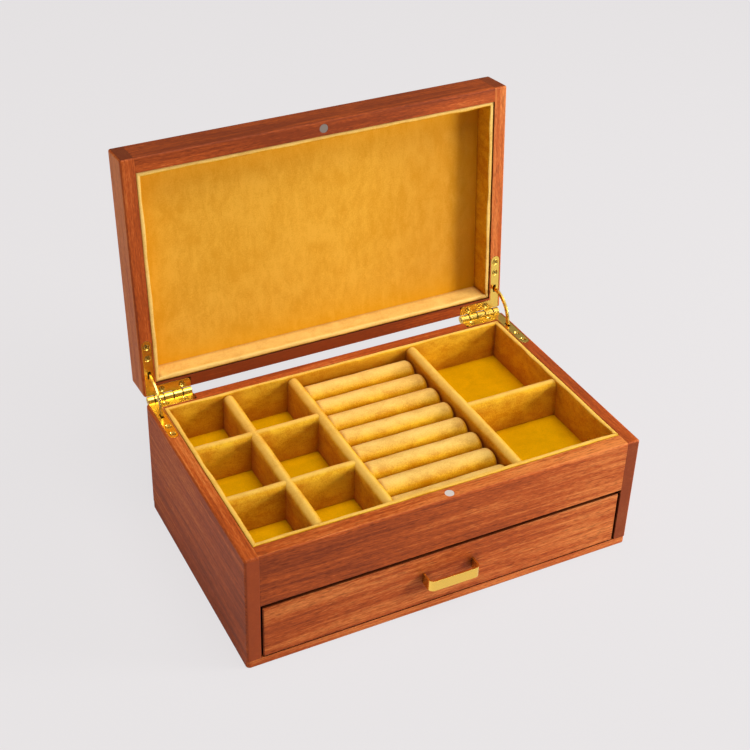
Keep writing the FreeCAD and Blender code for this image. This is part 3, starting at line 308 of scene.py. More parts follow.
def make_sapele(name, wood, board_look, on_lid):
    """Sapele, quarter-sawn, sanded and oiled to a satin sheen.

    Quarter-sawing gives the eye long ribbons that shift from pale to dark, crossed
    by short wavy flecks and fine pores, and the end grain drinks more oil and goes darker.
    """
    grain_axis, tilt_deg, start_mm, tones, painted_face_light, fleck_share, end_shade, seam_shade_mm = board_look
    material, add = new_material(name)
    place = add("TexCoord")
    vector = place.outputs["Object"]
    grain = Vector((1, 0, 0)) if grain_axis == "X" else Vector((0, 1, 0))
    if on_lid:
        # The pattern is laid out on the shut lid, where its boards lie level.
        offset = PIN_PLACE - SHUT_TURN.to_3x3() @ PIN_PLACE
        vector = add("Mapping", {"Vector": vector, "Rotation": (LID_ANGLE, 0, 0), "Location": offset})
        grain = TO_OPEN.to_3x3() @ grain
    turn = 0 if grain_axis == "X" else -math.pi / 2
    board = add(
        "Mapping",
        {
            "Vector": vector,
            "Location": start_mm,
            "Rotation": (0, math.radians(tilt_deg), turn),
            "Scale": (1 / MM, 1 / MM, 1 / MM),
        },
    )
    ribbon_mm = wood.ribbon_width / MM
    # Pores are about 0.1 mm wide, which is too fine to show, so they are drawn at 0.45 mm.
    sizes = {
        # pattern: (length along the grain in mm, width across it in mm, detail, distortion)
        "ribbon": (ribbon_mm * 16, ribbon_mm, 2, 0.4),
        "patch": (110, 45, 1, 0.0),
        "band": (120, 2.6, 3, 0.35),
        "streak": (34, 1.1, 3, 0.3),
        "fibre": (3.5, 0.6, 2, 0.2),
        "fleck": (7, 0.9, 2, 0.3),
        "pore": (wood.pore_length / MM, 0.45, 1, 0.2),
    }
    patterns = {}
    for label, (along_mm, across_mm, detail, distortion) in sizes.items():
        size = (along_mm, across_mm, across_mm)
        patterns[label] = spots(add, board, size, detail, 0.55, distortion)
    shares = {"ribbon": 0.8, "patch": 0.7, "band": 1.05, "streak": 0.8, "fibre": 1.0}
    # Each pattern lies round 0.5, so half of its share is taken off again.
    start = 0.5 - sum(shares.values()) / 2
    # Each board has its own tone, and the change of tone from end to end is painted light and shade along
    # the board.
    half_width = CAD_BOX[1][0]
    along = add("SeparateXYZ", {"Vector": place.outputs["Object"]})
    total = add(
        "MapRange",
        {
            "Value": along.outputs[grain_axis],
            "From Min": -half_width,
            "From Max": half_width,
            "To Min": start + tones[0],
            "To Max": start + tones[1],
        },
    )
    looks = add("SeparateXYZ", {"Vector": place.outputs["Normal"]})
    # Painted light: faces that look up and faces that look left are made lighter or darker by how the
    # light falls on them.
    for axis, sign, face_light in zip("ZX", (1, -1), painted_face_light):
        facing = {"Value": looks.outputs[axis], "From Min": 0.75 * sign, "From Max": 0.98 * sign}
        toned = add("MapRange", {**facing, "To Max": face_light})
        total = add("Math", {0: total, 1: toned}, operation="ADD")
    for label, share in shares.items():
        weighed = {0: patterns[label], 1: share, 2: total}
        total = add("Math", weighed, operation="MULTIPLY_ADD")
    body = add("ValToRGB", {"Fac": total})
    ramp_stops(body, [(0.0, wood.dark), (0.5, wood.middle), (1.0, wood.light)])
    pores = add("MapRange", {"Value": patterns["pore"], "From Min": 0.56, "From Max": 0.72})
    flecks = add(
        "MapRange",
        {"Value": patterns["fleck"], "From Min": 0.46, "From Max": 0.32, "To Max": fleck_share},
    )
    pore_share = add("Math", {0: pores, 1: 0.22, 2: flecks}, operation="MULTIPLY_ADD", use_clamp=True)
    pored = add("Mix", {0: pore_share, 6: body, 7: wood.pore}, data_type="RGBA")
    across = add("VectorMath", {0: place.outputs["Normal"], 1: grain}, operation="DOT_PRODUCT")
    end_face = add("Math", {0: across}, operation="ABSOLUTE")
    end_share = add("MapRange", {"Value": end_face, "From Min": 0.8, "From Max": 0.97, "To Max": 0.85})
    end_colour = Vector(wood.end_grain) * end_shade
    finished = add("Mix", {0: end_share, 6: pored, 7: end_colour}, data_type="RGBA")
    # Painted shade: the wood goes towards the seam colour where other surfaces close in, as the shade in
    # seams and gaps, but not on faces that look down.
    under = add("MapRange", {"Value": looks.outputs["Z"], "From Min": -0.2, "From Max": -0.6})
    unshaded = add("Math", {0: openness(add, seam_shade_mm, 1.5), 1: under}, operation="MAXIMUM")
    seam_shaded = add("Mix", {0: unshaded, 6: wood.seam, 7: finished}, data_type="RGBA")
    gloss = add("MapRange", {"Value": pore_share, "To Min": 0.46, "To Max": 0.62})
    rounded = add("Bevel", {"Radius": wood.edge_round}, samples=6)
    relief = add(
        "Bump",
        {"Strength": 0.3, "Distance": 0.00008, "Height": pore_share, "Normal": rounded},
        invert=True,
    )
    shader = add(
        "BsdfPrincipled",
        {
            "Base Color": seam_shaded,
            "Roughness": gloss,
            "IOR": 1.5,
            "Specular IOR Level": 0.12,
            "Normal": relief,
        },
    )
    add("OutputMaterial", {"Surface": shader})
    return material


def make_plain_birch(name):
    """Birch, planed and left bare: pale, even and matt, with faint long lines."""
    material, add = new_material(name)
    place = add("TexCoord")
    lines_per_metre = (12, 260, 420)
    size = [1 / count for count in lines_per_metre]
    lines = spots(add, place.outputs["Object"], size, 4, 0.5, 0.4)
    body = add("ValToRGB", {"Fac": lines})
    ramp_stops(body, [(0.3, linear("A9733F")), (0.5, linear("BE8A52")), (0.75, linear("CC9D66"))])
    relief = add("Bump", {"Strength": 0.25, "Distance": 0.0001, "Height": lines})
    shader = add(
        "BsdfPrincipled", {"Base Color": body, "Roughness": 0.62, "IOR": 1.5, "Normal": relief}
    )
    add("OutputMaterial", {"Surface": shader})
    return material


# ---------------------------------------------------------------- velvet
def velvet_kinds(velvet):
    """What sets the velvets of the box apart, by the end of each one's name.

    stroke_mm is the size of a brush stroke and relief_mm the height of the pile's
    relief. The colour painted_highlight_colour is a painted highlight: it takes over on faces
    that look towards painted_highlight_facing, from painted_highlight_from on, and in
    rim, a painted band of light on the upper walls, given as (low mm, high mm,
    share). A share of 0 makes no band. The crease colour is painted shade: it takes over
    within crease_mm of another surface. right_shadow_share is how far a painted shadow
    darkens the right-hand side.
    """
    pile = {
        "light": velvet.light,
        "dark": velvet.dark,
        "sheen": 0.08,
        "stroke_mm": (9, 9, 5),
        "relief_mm": 0.18,
        "painted_highlight_facing": (-0.3, 0.3, 0.9),
        "crest": 0.9,
        "painted_highlight_from": 0.45,
        "painted_highlight_colour": velvet.crest,
        "rim": (0, 1, 0.0),
        "crease": velvet.crease,
        "crease_mm": 13,
        "crease_power": 1.0,
        "right_shadow_share": 0.0,
    }
    return {
        # Painted light: the upper part of the walls is paler, as it is lit from above.
        "cut pile, walls": {**pile, "rim": (72, 89, 0.12)},
        "cut pile, rolls": {
            **pile,
            # Painted light: the rolls' nap is drawn lighter than the walls', as they stand up in the
            # light.
            "light": Vector(velvet.light) * 1.08,
            "stroke_mm": (12, 7, 7),
            "relief_mm": 0.25,
            "crest": 0.8,
            "painted_highlight_from": 0.2,
            "painted_highlight_colour": velvet.stretched,
            "crease_mm": 5,
        },
        "cut pile, lid lining": {
            **pile,
            "painted_highlight_facing": (0.0, -0.66, 0.75),
            "crest": 1.1,
            "painted_highlight_from": 0.2,
            "painted_highlight_colour": velvet.stretched,
            "crease_mm": 4,
        },
        "cut pile, lid floor": {
            **pile,
            "light": velvet.lid_floor,
            "dark": [value * low for value, low in zip(velvet.lid_floor, (0.86, 0.78, 0.5))],
            "sheen": 0.0,
            "stroke_mm": (5, 5, 14),
            "crest": 0.0,
            "crease": velvet.lid_floor_edge_shade,
            "crease_mm": 26,
            "crease_power": 1.2,
            # A painted shadow of the lid's right wall deepens the right of its floor.
            "right_shadow_share": 0.3,
        },
        "short pile, floors": {
            **pile,
            "light": velvet.floor,
            "dark": Vector(velvet.floor) * 0.84,
            "sheen": 0.0,
            "stroke_mm": (14, 10, 10),
            "relief_mm": 0.08,
            "crest": 0.0,
            "crease_mm": 5,
            "crease_power": 0.6,
        },
    }


def make_velvet(name, velvet, kind):
    """Cotton velvet, cut pile, brushed by hand.

    Pale crests are painted highlight, on faces that look towards the light, and deep orange
    creases are painted shade, where other surfaces close in; a painted shadow can also deepen
    the right-hand side, and the brushing leaves paler and darker strokes. The pile itself is
    too fine to show, so its grain is drawn coarser, in spots of 0.9 mm.
    """
    material, add = new_material(name)
    place = add("TexCoord")
    patterns = {}
    for label, (size_mm, detail, distortion) in {
        "patch": ((30, 30, 30), 4, 0.8),
        "stroke": (kind["stroke_mm"], 3, 0.5),
        "pile": ((0.9, 0.9, 0.9), 2, 0.0),
    }.items():
        size = [length * MM for length in size_mm]
        patterns[label] = spots(add, place.outputs["Object"], size, detail, 0.6, distortion)
    brushed = add("Mix", {0: 0.5, 2: patterns["patch"], 3: patterns["stroke"]}, data_type="FLOAT")
    grained = add("Mix", {0: 0.34, 2: brushed, 3: patterns["pile"]}, data_type="FLOAT")
    raised = add("MapRange", {"Value": grained, "From Min": 0.41, "From Max": 0.59})
    body = add("Mix", {0: raised, 6: kind["dark"], 7: kind["light"]}, data_type="RGBA")
    # Painted highlight: the crest colour is laid on faces that look towards the light, and in a painted
    # band of light high on the walls.
    painted_highlight_facing = add("VectorMath", {0: place.outputs["Normal"], 1: kind["painted_highlight_facing"]}, operation="DOT_PRODUCT")
    split = add("SeparateXYZ", {"Vector": place.outputs["Object"]})
    rim_low_mm, rim_high_mm, rim_share = kind["rim"]
    crest, rim, painted_right_shadow = [
        add(
            "MapRange",
            {"Value": value, "From Min": low, "From Max": high, "To Max": most},
            interpolation_type="SMOOTHSTEP",
        )
        for value, low, high, most in (
            (painted_highlight_facing.outputs["Value"], kind["painted_highlight_from"], 0.97, kind["crest"]),
            (split.outputs["Z"], rim_low_mm * MM, rim_high_mm * MM, rim_share),
            (split.outputs["X"], 0.02, 0.11, kind["right_shadow_share"]),
        )
    ]
    pale = add("Math", {0: crest, 1: rim}, operation="ADD")
    worn = add("MapRange", {"Value": raised, "To Min": 0.7, "To Max": 1.15})
    painted_highlight_share = add("Math", {0: pale, 1: worn}, operation="MULTIPLY", use_clamp=True)
    # Painted shadow on the right of the lid's floor, then painted highlight.
    for share, colour in ((painted_right_shadow, velvet.crease), (painted_highlight_share, kind["painted_highlight_colour"])):
        body = add("Mix", {0: share, 6: body, 7: colour}, data_type="RGBA")
    # Painted shade: the crease colour is laid where other surfaces close in.
    clear = openness(add, kind["crease_mm"], kind["crease_power"])
    crease_shaded = add("Mix", {0: clear, 6: kind["crease"], 7: body}, data_type="RGBA")
    relief = add("Bump", {"Strength": 0.5, "Distance": kind["relief_mm"] * MM, "Height": grained})
    shader = add(
        "BsdfPrincipled",
        {
            "Base Color": crease_shaded,
            "Roughness": 0.9,
            "IOR": 1.46,
            "Specular IOR Level": 0.0,
            "Sheen Weight": kind["sheen"],
            "Sheen Roughness": 0.4,
            "Sheen Tint": velvet.sheen,
            "Normal": relief,
        },
    )
    add("OutputMaterial", {"Surface": shader})
    return material


# ---------------------------------------------------------------- metals
def make_brass(name, brass, colour):
    """Brass, stamped, polished and lacquered: bright, and never quite flat."""
    material, add = new_material(name)
    place = add("TexCoord")
    swells_per_mm = 0.35
    scale = swells_per_mm / MM
    cloud = add("TexNoise", {"Vector": place.outputs["Object"], "Scale": scale, "Detail": 3})
    gloss = add("MapRange", {"Value": cloud, "To Min": 0.18, "To Max": 0.3})
    rounded = add("Bevel", {"Radius": 0.00015}, samples=6)
    relief = add("Bump", {"Strength": 0.05, "Distance": 0.0001, "Height": cloud, "Normal": rounded})
    # Painted shade: the knuckles stand so close that the gaps between them barely show, so a dark line is
    # painted at each joint, and the gap colour is also laid where surfaces close in on the brass.
    split = add("SeparateXYZ", {"Vector": place.outputs["Object"]})
    from_middle = add("Math", {0: split.outputs["X"]}, operation="ABSOLUTE")
    from_joint = add("Math", {0: from_middle, 1: brass.first_joint}, operation="SUBTRACT")
    to_joint = add("Math", {0: from_joint, 1: brass.knuckle_pitch / 2}, operation="PINGPONG")
    joint = 1.0
    for value, none, full in (
        # a place's measure, where the dirt of a joint has faded out, where it is full
        (to_joint, 0.0006, 0.0003),
        # clear of the inner end of the knuckles
        (from_middle, 0.1070, 0.1080),
        # behind the flat of the leaves
        (split.outputs["Y"], 0.0860, 0.0863),
        # and no higher than the top of the case leaf
        (split.outputs["Z"], 0.0912, 0.0909),
    ):
        inside = add("MapRange", {"Value": value, "From Min": none, "From Max": full})
        joint = add("Math", {0: inside, 1: joint}, operation="MULTIPLY")
    unshaded = add("Math", {0: openness(add, 0.8, 0.9), 1: joint}, operation="SUBTRACT", use_clamp=True)
    gap_shaded = add("Mix", {0: unshaded, 6: brass.gap_shade, 7: colour}, data_type="RGBA")
    shader = add(
        "BsdfPrincipled",
        {"Base Color": gap_shaded, "Metallic": 1.0, "Roughness": gloss, "Normal": relief},
    )
    add("OutputMaterial", {"Surface": shader})
    return material


def make_nickel(name, colour):
    """Nickel plate on a sintered magnet: grey-white and slightly grainy."""
    material, add = new_material(name)
    place = add("TexCoord")
    grains_per_mm = 1.8
    scale = grains_per_mm / MM
    grit = add("TexNoise", {"Vector": place.outputs["Object"], "Scale": scale, "Detail": 2})
    gloss = add("MapRange", {"Value": grit, "To Min": 0.42, "To Max": 0.62})
    shader = add("BsdfPrincipled", {"Base Color": colour, "Metallic": 1.0, "Roughness": gloss})
    add("OutputMaterial", {"Surface": shader})
    return material


# ---------------------------------------------------------------- meshes
def add_tube(mesh_data, rings, turn):
    """Quads between rings of equal count, with a flat face at each end."""
    rows = [[mesh_data.verts.new(turn @ point) for point in ring] for ring in rings]
    count = len(rows[0])
    for row, next_row in zip(rows, rows[1:]):
        for number in range(count):
            following = (number + 1) % count
            mesh_data.faces.new((row[number], row[following], next_row[following], next_row[number]))
    mesh_data.faces.new(reversed(rows[0]))
    mesh_data.faces.new(rows[-1])


def mesh_from_rings(name, rings, turn):
    """A closed mesh of its own through rings of points."""
    mesh_data = bmesh.new()
    add_tube(mesh_data, rings, turn)
    return finished_mesh(name, mesh_data)


def finished_mesh(name, mesh_data):
    """A smooth mesh with its normals outwards and its corners kept sharp."""
    bmesh.ops.recalc_face_normals(mesh_data, faces=mesh_data.faces)
    mesh = bpy.data.meshes.new(name)
    mesh_data.to_mesh(mesh)
    mesh_data.free()
    mesh.shade_smooth()
    mesh.set_sharp_from_angle(angle=math.radians(50))
    return mesh


def add_piece(name, mesh, body, material):
    """Put a mesh in the scene as a piece that rides on a body."""
    piece = bpy.data.objects.new(name, mesh)
    bpy.context.scene.collection.objects.link(piece)
    mesh.materials.append(material)
    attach(piece, body)
    return piece


def add_soft_piece(name, mesh, body, nodes, material):
    """A padded piece that stands for the soft solids of these nodes."""
    piece = add_piece(name, mesh, body, material)
    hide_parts(*nodes)
    return piece


def wander(along, seed, wave_length):
    """A slow, steady wave from -1 to 1 along a seam, the same in each run."""
    return noise.noise(Vector((along / wave_length, seed * 7.31, seed * 1.7)))


def steps(count):
    """Even shares from 0 to 1."""
    return [number / count for number in range(count + 1)]


def rounded_end(distance, radius):
    """How far a rounded end has drawn in at this distance from its tip."""
    if distance >= radius:
        return 0.0
    return radius - math.sqrt(radius**2 - (radius - distance) ** 2)


def close_steps(length, end, count):
    """Stations along a length, closer together over a distance at both ends."""
    near = [end * (1 - math.cos(math.pi / 2 * share)) for share in steps(8)]
    middle = [end + (length - 2 * end) * share for share in steps(count)]
    far = [length - place for place in reversed(near)]
    return near[:-1] + middle + far[1:]


def lining_mesh(name, side, well, thickness, velvet, seed, turn):
    """One padded strip of a lined well, rounded at the mouth and mitred at both ends."""
    half_x, front_y, back_y, deep_z, mouth_z = well
    middle_y = (front_y + back_y) / 2
    half_y = (back_y - front_y) / 2
    frames = {
        # side: (middle of the wall, along it, into the well, half the wall's length)
        "front": ((0, front_y, 0), (1, 0, 0), (0, 1, 0), half_x),
        "back": ((0, back_y, 0), (-1, 0, 0), (0, -1, 0), half_x),
        "left": ((-half_x, middle_y, 0), (0, -1, 0), (1, 0, 0), half_y),
        "right": ((half_x, middle_y, 0), (0, 1, 0), (-1, 0, 0), half_y),
    }
    origin, along, inward = [Vector(values) for values in frames[side][:3]]
    half = frames[side][3]
    up = 1 if mouth_z > deep_z else -1
    depth = abs(mouth_z - deep_z)
    crest = thickness * 0.42
    rings = []
    for share in steps(90):
        place = (2 * share - 1) * half
        wave = velvet.edge_wave * wander(place, seed, wave_length=0.028)
        swell = velvet.wall_bulge * (0.6 + 0.6 * wander(place, seed + 5, wave_length=0.04))
        section = [(0.0, 0.0), (0.0, (depth - crest) * 0.5), (0.0, depth - crest)]
        fuller = 0.5 + wander(place, seed + 2, wave_length=0.017)
        plump = 1 + 2 * velvet.edge_wave / thickness * fuller
        for step in steps(10)[1:]:
            angle = math.pi * step
            across = (thickness / 2 - math.cos(angle) * thickness / 2) * (1 + (plump - 1) * step)
            # A power below one makes the crest blunter than a circle.
            rise = math.sin(angle) ** 0.45
            section.append((across, depth - crest + (crest + wave) * rise))
        for step in steps(8)[1:]:
            height = (depth - crest) * (1 - step)
            fold = thickness * (plump - 1) * max(0.0, 1 - 5 * step)
            section.append((thickness + fold + swell * math.sin(math.pi * step), height))
        ring = []
        for across, height in section:
            reach = (half - across) * (2 * share - 1)
            level = origin + along * reach + inward * across
            ring.append(level + Vector((0, 0, deep_z + up * height)))
        rings.append(ring)
    return mesh_from_rings(name, rings, turn)


def divider_mesh(name, low, high, axis, end_round, velvet, seed):
    """A velvet-covered board on edge, with a round top and soft ends."""
    length = high[axis] - low[axis]
    other = 1 - axis
    half = (high[other] - low[other]) / 2
    middle = (high[other] + low[other]) / 2
    rings = []
    for place in close_steps(length, end_round, 70):
        drop = rounded_end(min(place, length - place), end_round)
        wave = velvet.edge_wave * wander(place, seed, wave_length=0.03)
        lean = velvet.edge_wave * 1.6 * wander(place, seed + 3, wave_length=0.05)
        top = high.z - drop * 0.8 + wave
        centre_z = high.z - half
        width = half - drop * 0.25
        section = []
        for step in steps(16):
            angle = math.pi * step
            rise = math.sin(angle)
            section.append((-math.cos(angle) * width, centre_z + rise * (top - centre_z)))
        for side in (1, -1):
            heights = steps(6)[1:] if side == 1 else steps(6)[:0:-1]
            for step in heights:
                waist = 1 - 0.02 * math.sin(math.pi * step)
                height = centre_z + (low.z - centre_z) * step
                section.append((side * width * waist, height))
        ring = []
        for across, height in section:
            share_up = (height - low.z) / (high.z - low.z)
            point = Vector((0, 0, height))
            point[axis] = low[axis] + place
            point[other] = middle + across + lean * share_up
            ring.append(point)
        rings.append(ring)
    return mesh_from_rings(name, rings, Matrix.Identity(4))


def roll_mesh(name, low, high, radius, velvet, seed):
    """A foam roll under velvet: a round top on straight sides, with rounded ends."""
    length = high.x - low.x
    half = (high.y - low.y) / 2
    middle = (high.y + low.y) / 2
    end = velvet.roll_end_round
    slack = 0.00015
    swell_height = 0.0002
    sag_height = 0.0003
    lump_height = 0.00012
    waist_depth = 0.0006
    rings = []
    for place in close_steps(length, end, 60):
        draw = rounded_end(min(place, length - place), end)
        swell = swell_height * wander(place, seed, wave_length=0.022)
        sag = sag_height * wander(place, seed + 9, wave_length=0.05)
        centre_z = high.z - radius
        width = half - draw * 0.85
        section = []
        for step in steps(28):
            angle = math.pi * step
            lump = noise.noise(Vector((place * 60, seed * 3.0, step * 4)))
            lump = swell + lump_height * lump
            reach = min(width, radius - draw) + lump
            across = -math.cos(angle) * (width - slack + lump)
            section.append((across, centre_z + math.sin(angle) * reach + sag * math.sin(angle)))
        for side in (1, -1):
            heights = steps(5)[1:] if side == 1 else steps(5)[:0:-1]
            for step in heights:
                waist = waist_depth * math.sin(math.pi * step * 0.5)
                section.append((side * (width - waist), centre_z + (low.z - centre_z) * step))
        rings.append([Vector((low.x + place, middle + across, height)) for across, height in section])
    return mesh_from_rings(name, rings, Matrix.Identity(4))


def add_pad(mesh_data, low, high, face_z, back_z, velvet, seed, turn):
    """A padded board, tucked in all round; its face is at face_z and its back at back_z."""
    spacing = 0.0022
    crown_height = 0.0003
    lump_height = 0.00015
    sink = 0.0002
    low = [edge - velvet.tuck for edge in low]
    high = [edge + velvet.tuck for edge in high]
    counts = [max(12, round((high[axis] - low[axis]) / spacing)) for axis in (0, 1)]
    up = 1 if face_z > back_z else -1
    rows = []
    for share_y in steps(counts[1]):
        row = []
        for share_x in steps(counts[0]):
            x = low[0] + (high[0] - low[0]) * share_x
            y = low[1] + (high[1] - low[1]) * share_y
            crown = crown_height * math.sin(math.pi * share_x) * math.sin(math.pi * share_y)
            lump = lump_height * noise.noise(Vector((x * 28, y * 28, seed * 2.3)))
            height = face_z + up * (crown - sink + lump)
            row.append(mesh_data.verts.new(turn @ Vector((x, y, height))))
        rows.append(row)
    for row, next_row in zip(rows, rows[1:]):
        for number in range(len(row) - 1):
            corners = (row[number], row[number + 1], next_row[number + 1], next_row[number])
            mesh_data.faces.new(corners)
    border = list(rows[0])
    border += [row[-1] for row in rows[1:]]
    border += list(reversed(rows[-1][:-1]))
    border += [row[0] for row in reversed(rows[1:-1])]
    flat = turn.inverted()
    foot = []
    for vertex in border:
        point = flat @ vertex.co
        foot.append(mesh_data.verts.new(turn @ Vector((point.x, point.y, back_z))))
    for number in range(len(border)):
        following = (number + 1) % len(border)
        mesh_data.faces.new((border[following], border[number], foot[number], foot[following]))
    mesh_data.faces.new(foot)


def circle_points(centre, radius, height, count):
    """Points on a level circle round a centre, at a height above it."""
    angles = [2 * math.pi * number / count for number in range(count)]
    return [
        centre + Vector((radius * math.cos(angle), radius * math.sin(angle), height))
        for angle in angles
    ]


def add_countersink(mesh_data, centre, brass, up, turn):
    """The conical hole that a hinge screw's head lies in, to be cut from a leaf."""
    wide = brass.screw_radius + brass.screw_gap
    proud = 0.0001
    profile = ((wide + proud, proud), (wide, 0.0), (wide * 0.62, -brass.sink_depth))
    rings = [circle_points(centre, radius, up * height, 36) for radius, height in profile]
    add_tube(mesh_data, rings, turn)


def add_screw_head(mesh_data, centre, brass, turn_deg, up, turn):
    """The flat head of a wood screw with a cross recess, seated in its countersink."""
    radius = brass.screw_radius
    bar = radius * 0.15
    reach = radius * 0.62
    dome = radius * 0.1
    recess = radius * 0.35
    cross_turn = math.radians(turn_deg)
    count = 48
    rings = [circle_points(centre, radius * 0.55, -up * brass.sink_depth, count)]
    for share in steps(16)[:0:-1]:
        distance = radius * share
        ring = []
        for number in range(count):
            angle = 2 * math.pi * number / count
            cross_x = distance * math.cos(angle + cross_turn)
            cross_y = distance * math.sin(angle + cross_turn)
            in_bar = min(abs(cross_x), abs(cross_y)) / bar
            depth = max(0.0, 1 - in_bar**3) * max(0.0, 1 - (distance / reach) ** 4)
            height = -brass.screw_drop - dome * share**6 - recess * depth
            level = Vector((distance * math.cos(angle), distance * math.sin(angle), up * height))
            ring.append(centre + level)
        rings.append(ring)
    add_tube(mesh_data, rings, turn)


# ---------------------------------------------------------------- operators
def finish_nodes(nodes, material):
    """Give CAD nodes a finish."""
    for name in nodes:
        for slot in frame["nodes"][name].material_slots:
            slot.material = material


def line_well(prefix, body, velvet, material):
    """Pad the four strips of a lined well."""
    front_low, front_high = level_box(f"{prefix}_front")
    back_high = level_box(f"{prefix}_back")[1]
    deep_z, mouth_z = front_low.z, front_high.z
    if body == "lid":
        deep_z, mouth_z = mouth_z, deep_z
    well = (front_high.x, front_low.y, back_high.y, deep_z, mouth_z)
    thickness = front_high.y - front_low.y
    for number, side in enumerate(("front", "back", "left", "right"), start=1):
        name = f"{prefix}_{side}_velvet"
        seed = number + len(prefix)
        mesh = lining_mesh(name, side, well, thickness, velvet, seed, pose_turn(prefix))
        add_soft_piece(name, mesh, body, [f"{prefix}_{side}"], material)


def pad_floor(body, velvet, material, seed):
    """Pad the floor of the lid or of the drawer."""
    node = f"{body}_floor_velvet"
    low, high = level_box(node)
    back_z, face_z = low.z, high.z
    if body == "lid":
        back_z, face_z = face_z, back_z
    mesh_data = bmesh.new()
    add_pad(mesh_data, low[:2], high[:2], face_z, back_z, velvet, seed, pose_turn(node))
    name = f"{body}_floor_pad"
    add_soft_piece(name, finished_mesh(name, mesh_data), body, [node], material)


class RINGBOX_OT_boards(Operator):
    """Finish the boards of the case, the lid and the drawer"""

    bl_idname = "ringbox.boards"
    bl_label = "Finish the boards"

    def execute(self, context):
        wood = context.scene.ringbox_wood
        for node, board_look in POLISHED_BOARDS.items():
            name = "Sapele, quarter-sawn, oiled, " + node.replace("_", " ")
            material = make_sapele(name, wood, board_look, node.startswith("lid_"))
            finish_nodes([node], material)
        finish_nodes(PLAIN_BOARDS, make_plain_birch("Birch, planed"))
        return {"FINISHED"}


class RINGBOX_OT_velvets(Operator):
    """Make the velvets that the soft pieces share"""

    bl_idname = "ringbox.velvets"
    bl_label = "Make the velvets"

    def execute(self, context):
        velvet = context.scene.ringbox_velvet
        for label, kind in velvet_kinds(velvet).items():
            make_velvet(f"Cotton velvet, {label}", velvet, kind)
        return {"FINISHED"}


class RINGBOX_OT_tray_lining(Operator):
    """Pad the walls of the tray"""

    bl_idname = "ringbox.tray_lining"
    bl_label = "Pad the tray walls"

    def execute(self, context):
        material = bpy.data.materials["Cotton velvet, cut pile, walls"]
        line_well("tray_lining", "case", context.scene.ringbox_velvet, material)
        return {"FINISHED"}


class RINGBOX_OT_tray_floor(Operator):
    """Pad the floors of the cells"""

    bl_idname = "ringbox.tray_floor"
    bl_label = "Pad the cell floors"

    def execute(self, context):
        velvet = context.scene.ringbox_velvet
        material = bpy.data.materials["Cotton velvet, short pile, floors"]
        floor_low, floor_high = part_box("tray_floor_velvet")
        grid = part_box("grid_divider")
        ring_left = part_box("ring_divider_left")
        ring_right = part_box("ring_divider_right")
        grid_rows = ("grid_cross_divider_front", "grid_cross_divider_back")
        # columns: (lowest x, highest x, dividers that cross it, from front to back)
        columns = (
            (floor_low.x, grid[0].x, grid_rows),
            (grid[1].x, ring_left[0].x, grid_rows),
            (ring_left[1].x, ring_right[0].x, ()),
            (ring_right[1].x, floor_high.x, ("right_cross_divider",)),
        )
        mesh_data = bmesh.new()
        seed = 0
        for low_x, high_x, crossing in columns:
            edges = [floor_low.y]
            for node in crossing:
                edges += [corner.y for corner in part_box(node)]
            edges.append(floor_high.y)
            for low_y, high_y in zip(edges[::2], edges[1::2]):
                low = (low_x, low_y)
                high = (high_x, high_y)
                turn = Matrix.Identity(4)
                add_pad(mesh_data, low, high, floor_high.z, floor_low.z, velvet, seed, turn)
                seed += 1
        mesh = finished_mesh("tray_floor_pads", mesh_data)
        add_soft_piece("tray_floor_pads", mesh, "case", ["tray_floor_velvet"], material)
        return {"FINISHED"}


class RINGBOX_OT_dividers(Operator):
    """Cover the dividers of the tray in velvet"""

    bl_idname = "ringbox.dividers"
    bl_label = "Cover the dividers"

    def execute(self, context):
        velvet = context.scene.ringbox_velvet
        material = bpy.data.materials["Cotton velvet, cut pile, walls"]
        # (axis it runs along, rounding of its ends, drop of its top, reach of its ends)
        long = (1, 0.0022, 0.0, 0.0007)
        cross = (0, 0.0003, 0.0002, 0.0024)
        dividers = {
            "grid_divider": long,
            "ring_divider_left": long,
            "ring_divider_right": long,
            "grid_cross_divider_back": cross,
            "grid_cross_divider_front": cross,
            "right_cross_divider": cross,
        }
        for seed, (node, (axis, end_round, drop, reach)) in enumerate(dividers.items(), start=11):
            low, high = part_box(node)
            low[axis] -= reach
            high[axis] += reach
            high.z -= drop
            name = f"{node}_velvet"
            mesh = divider_mesh(name, low, high, axis, end_round, velvet, seed)
            add_soft_piece(name, mesh, "case", [node], material)
        return {"FINISHED"}


class RINGBOX_OT_ring_rolls(Operator):
    """Make the foam rolls that hold rings between them"""

    bl_idname = "ringbox.ring_rolls"
    bl_label = "Make the ring rolls"

    def execute(self, context):
        velvet = context.scene.ringbox_velvet
        material = bpy.data.materials["Cotton velvet, cut pile, rolls"]
        nodes = sorted(name for name in frame["nodes"] if name.startswith("ring_roll_"))
        first_low, first_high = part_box(nodes[0])
        radius = (first_high.y - first_low.y) / 2
        for seed, node in enumerate(nodes, start=31):
            low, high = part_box(node)
            name = f"{node}_velvet"
            mesh = roll_mesh(name, low, high, radius, velvet, seed)
            add_soft_piece(name, mesh, "case", [node], material)
        return {"FINISHED"}


class RINGBOX_OT_lid_velvet(Operator):
    """Pad the inside of the lid"""

    bl_idname = "ringbox.lid_velvet"
    bl_label = "Pad the lid"

    def execute(self, context):
        velvet = context.scene.ringbox_velvet
        line_well("lid_lining", "lid", velvet, bpy.data.materials["Cotton velvet, cut pile, lid lining"])
        pad_floor("lid", velvet, bpy.data.materials["Cotton velvet, cut pile, lid floor"], 71)
        return {"FINISHED"}


